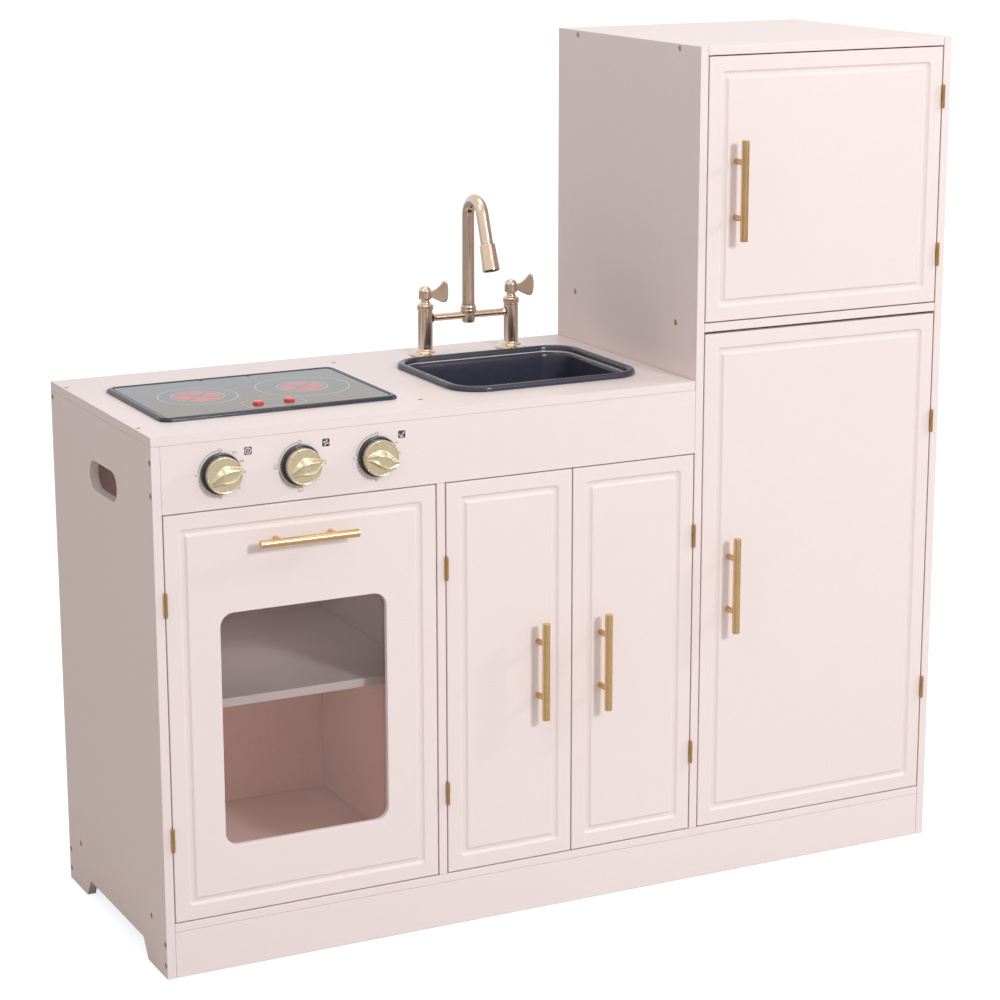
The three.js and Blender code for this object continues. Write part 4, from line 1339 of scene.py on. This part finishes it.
# %% Magnetic catches
CATCHES = {
    "oven": (300, "base_panel"),
    "left_cupboard": (482, "base_panel"),
    "right_cupboard": (518, "base_panel"),
    "fridge": (700, "base_panel"),
    "freezer": (700, "freezer_floor"),
}
for door, (x, board_node) in CATCHES.items():
    z = span(board_node)[1].z
    block = Shape().loft(slab((
        (x, 20, 30, 15.4, 2, z + 0.05), (x, 20, 30, 15.4, 2, z + 8.5), (x, 20, 29, 14.4, 1.5, z + 9.2),
    )))
    for pole in (-1, 1):
        block.box((x + pole * 4 - 1.2, 11.3, z + 2.5), (x + pole * 4 + 1.2, 14, z + 7), 1)
    make(door + "_catch", block, [white_plastic, steel], "cabinet", (), (x, 20, z))
    plate = Shape().loft([frontal(rounded(x, z + 7.5, 26, 9, 1.5), THICK + 0.02),
                          frontal(rounded(x, z + 7.5, 26, 9, 1.5), THICK + 0.7),
                          frontal(rounded(x, z + 7.5, 25.4, 8.4, 1.2), THICK + 0.9)])
    make(door + "_strike_plate", plate, [steel], door + "_door_body", (), (x, THICK, z))
print(len(CATCHES), "catches")

# %% [markdown]
# ## Stage
# The kitchen stands on a plain pale floor under soft studio light. The world is white where the
# camera sees it and dimmer where it lights the kitchen, so the shaded left side keeps its depth. The
# key light stands low and slightly to the right of the front, and throws the handles' shadows to
# the left. A weak one far to the right rakes over the doors and lights one wall of each routed
# line, one overhead lifts the tops, and one at the left softens that side. Two small lamps stand in
# the oven, because hardly any light comes through its window. A cool screen behind, which only
# shows in gloss, gives the hob its bluish reflection.

# %% Floor and world
floor_finish = new_finish("pale_floor")
patch = floor_finish.noise(1.2, 3)
seen = floor_finish.add("ShaderNodeLightPath", {}, {}, "Is Camera Ray")
pale_floor = floor_finish.surface(floor_finish.principled(
    Base_Color=floor_finish.mix(patch, tone(192, 188, 185), tone(197, 193, 190)),
    Roughness=0.75 + patch * 0.1,
    Specular_IOR_Level=0.2,
    Emission_Color=floor_finish.mix(seen, (0, 0, 0, 1), (0.94, 1.0, 1.0, 1)),
    Emission_Strength=0.8,
))
FLOOR_REACH = 40
floor_mesh = bpy.data.meshes.new("floor")
corners = level(hoop(0, 0, FLOOR_REACH, 64), -0.0005)
floor_mesh.from_pydata(corners, [], [tuple(range(64))])
floor_mesh.materials.append(pale_floor)
floor = bpy.data.objects.new("floor", floor_mesh)
scene.collection.objects.link(floor)

world = bpy.data.worlds.new("studio")
scene.world = world
sky = Finish(world)
camera_ray = sky.add("ShaderNodeLightPath", {}, {}, "Is Camera Ray")
glossy_ray = camera_ray.output_named("Is Glossy Ray")
unseen = sky.mix(glossy_ray, (0.64, 0.572, 0.55, 1), (1.0, 0.93, 0.86, 1))
sky_colour = sky.mix(camera_ray, unseen, (1, 1, 1, 1))
background = sky.add("ShaderNodeBackground", {}, {"Color": sky_colour, "Strength": 1.0})
sky.add("ShaderNodeOutputWorld", {}, {"Surface": background})

# %% The cool screen
SCREEN_TOP = 1.525
SCREEN_AWAY = 4.2
cool = new_finish("cool_screen")
cloth = cool.noise(0.8, 2)
cool_screen = cool.surface(cool.principled(
    Base_Color=(0.02, 0.02, 0.02, 1),
    Roughness=0.9 - cloth * 0.1,
    Emission_Color=cool.mix(cloth, (0.6, 0.76, 0.98, 1), (0.7, 0.86, 1.0, 1)),
    Emission_Strength=1.25,
))
screen_mesh = bpy.data.meshes.new("cool_screen")
sheet = ((-3, 0), (8, 0), (8, SCREEN_TOP), (-3, SCREEN_TOP))
screen_mesh.from_pydata(frontal(sheet, SCREEN_AWAY), [], [(0, 1, 2, 3)])
screen_mesh.materials.append(cool_screen)
screen = bpy.data.objects.new("cool_screen", screen_mesh)
screen.visible_camera = False
screen.visible_diffuse = False
screen.visible_shadow = False
scene.collection.objects.link(screen)


# %% Lights
def area_light(name, target, azimuth, height, distance, size, power, colour):
    """A square lamp seen from the target at an azimuth to the right of the front, and a height."""
    across, up = math.radians(azimuth), math.radians(height)
    way = Vector((math.sin(across) * math.cos(up), -math.cos(across) * math.cos(up), math.sin(up)))
    lamp = bpy.data.lights.new(name, "AREA")
    lamp.shape = "SQUARE"
    lamp.size = size
    lamp.energy = power
    lamp.color = colour
    piece = bpy.data.objects.new(name, lamp)
    piece.location = Vector(target) + way * distance
    piece.rotation_euler = (-way).to_track_quat("-Z", "Y").to_euler()
    piece.visible_camera = False
    scene.collection.objects.link(piece)


TARGET = (0.1, -0.1, 0.55)
area_light("key", TARGET, 11, 23.5, 4.2, 0.6, 81, (0.92, 0.97, 1.0))
area_light("far_right", TARGET, 70, 27, 3.0, 0.3, 19, (0.95, 0.98, 1.0))
area_light("overhead", TARGET, 0, 90, 2.6, 1.4, 9.5, (0.94, 1.0, 1.0))
area_light("left_fill", TARGET, -70, 48, 3.2, 1.2, 7, (0.9, 1.0, 1.0))
area_light("oven_low", (-0.33, 0.08, 0.1), 0, 30, 0.2, 0.12, 0.1, (1.0, 0.6, 0.46))
area_light("oven_high", (-0.33, 0.08, 0.33), 0, 60, 0.14, 0.1, 0.045, (1.0, 0.84, 0.8))
scene.view_settings.view_transform = "Standard"
scene.view_settings.look = "None"
scene.view_settings.exposure = 0
scene.view_settings.gamma = 1
print("lights placed")
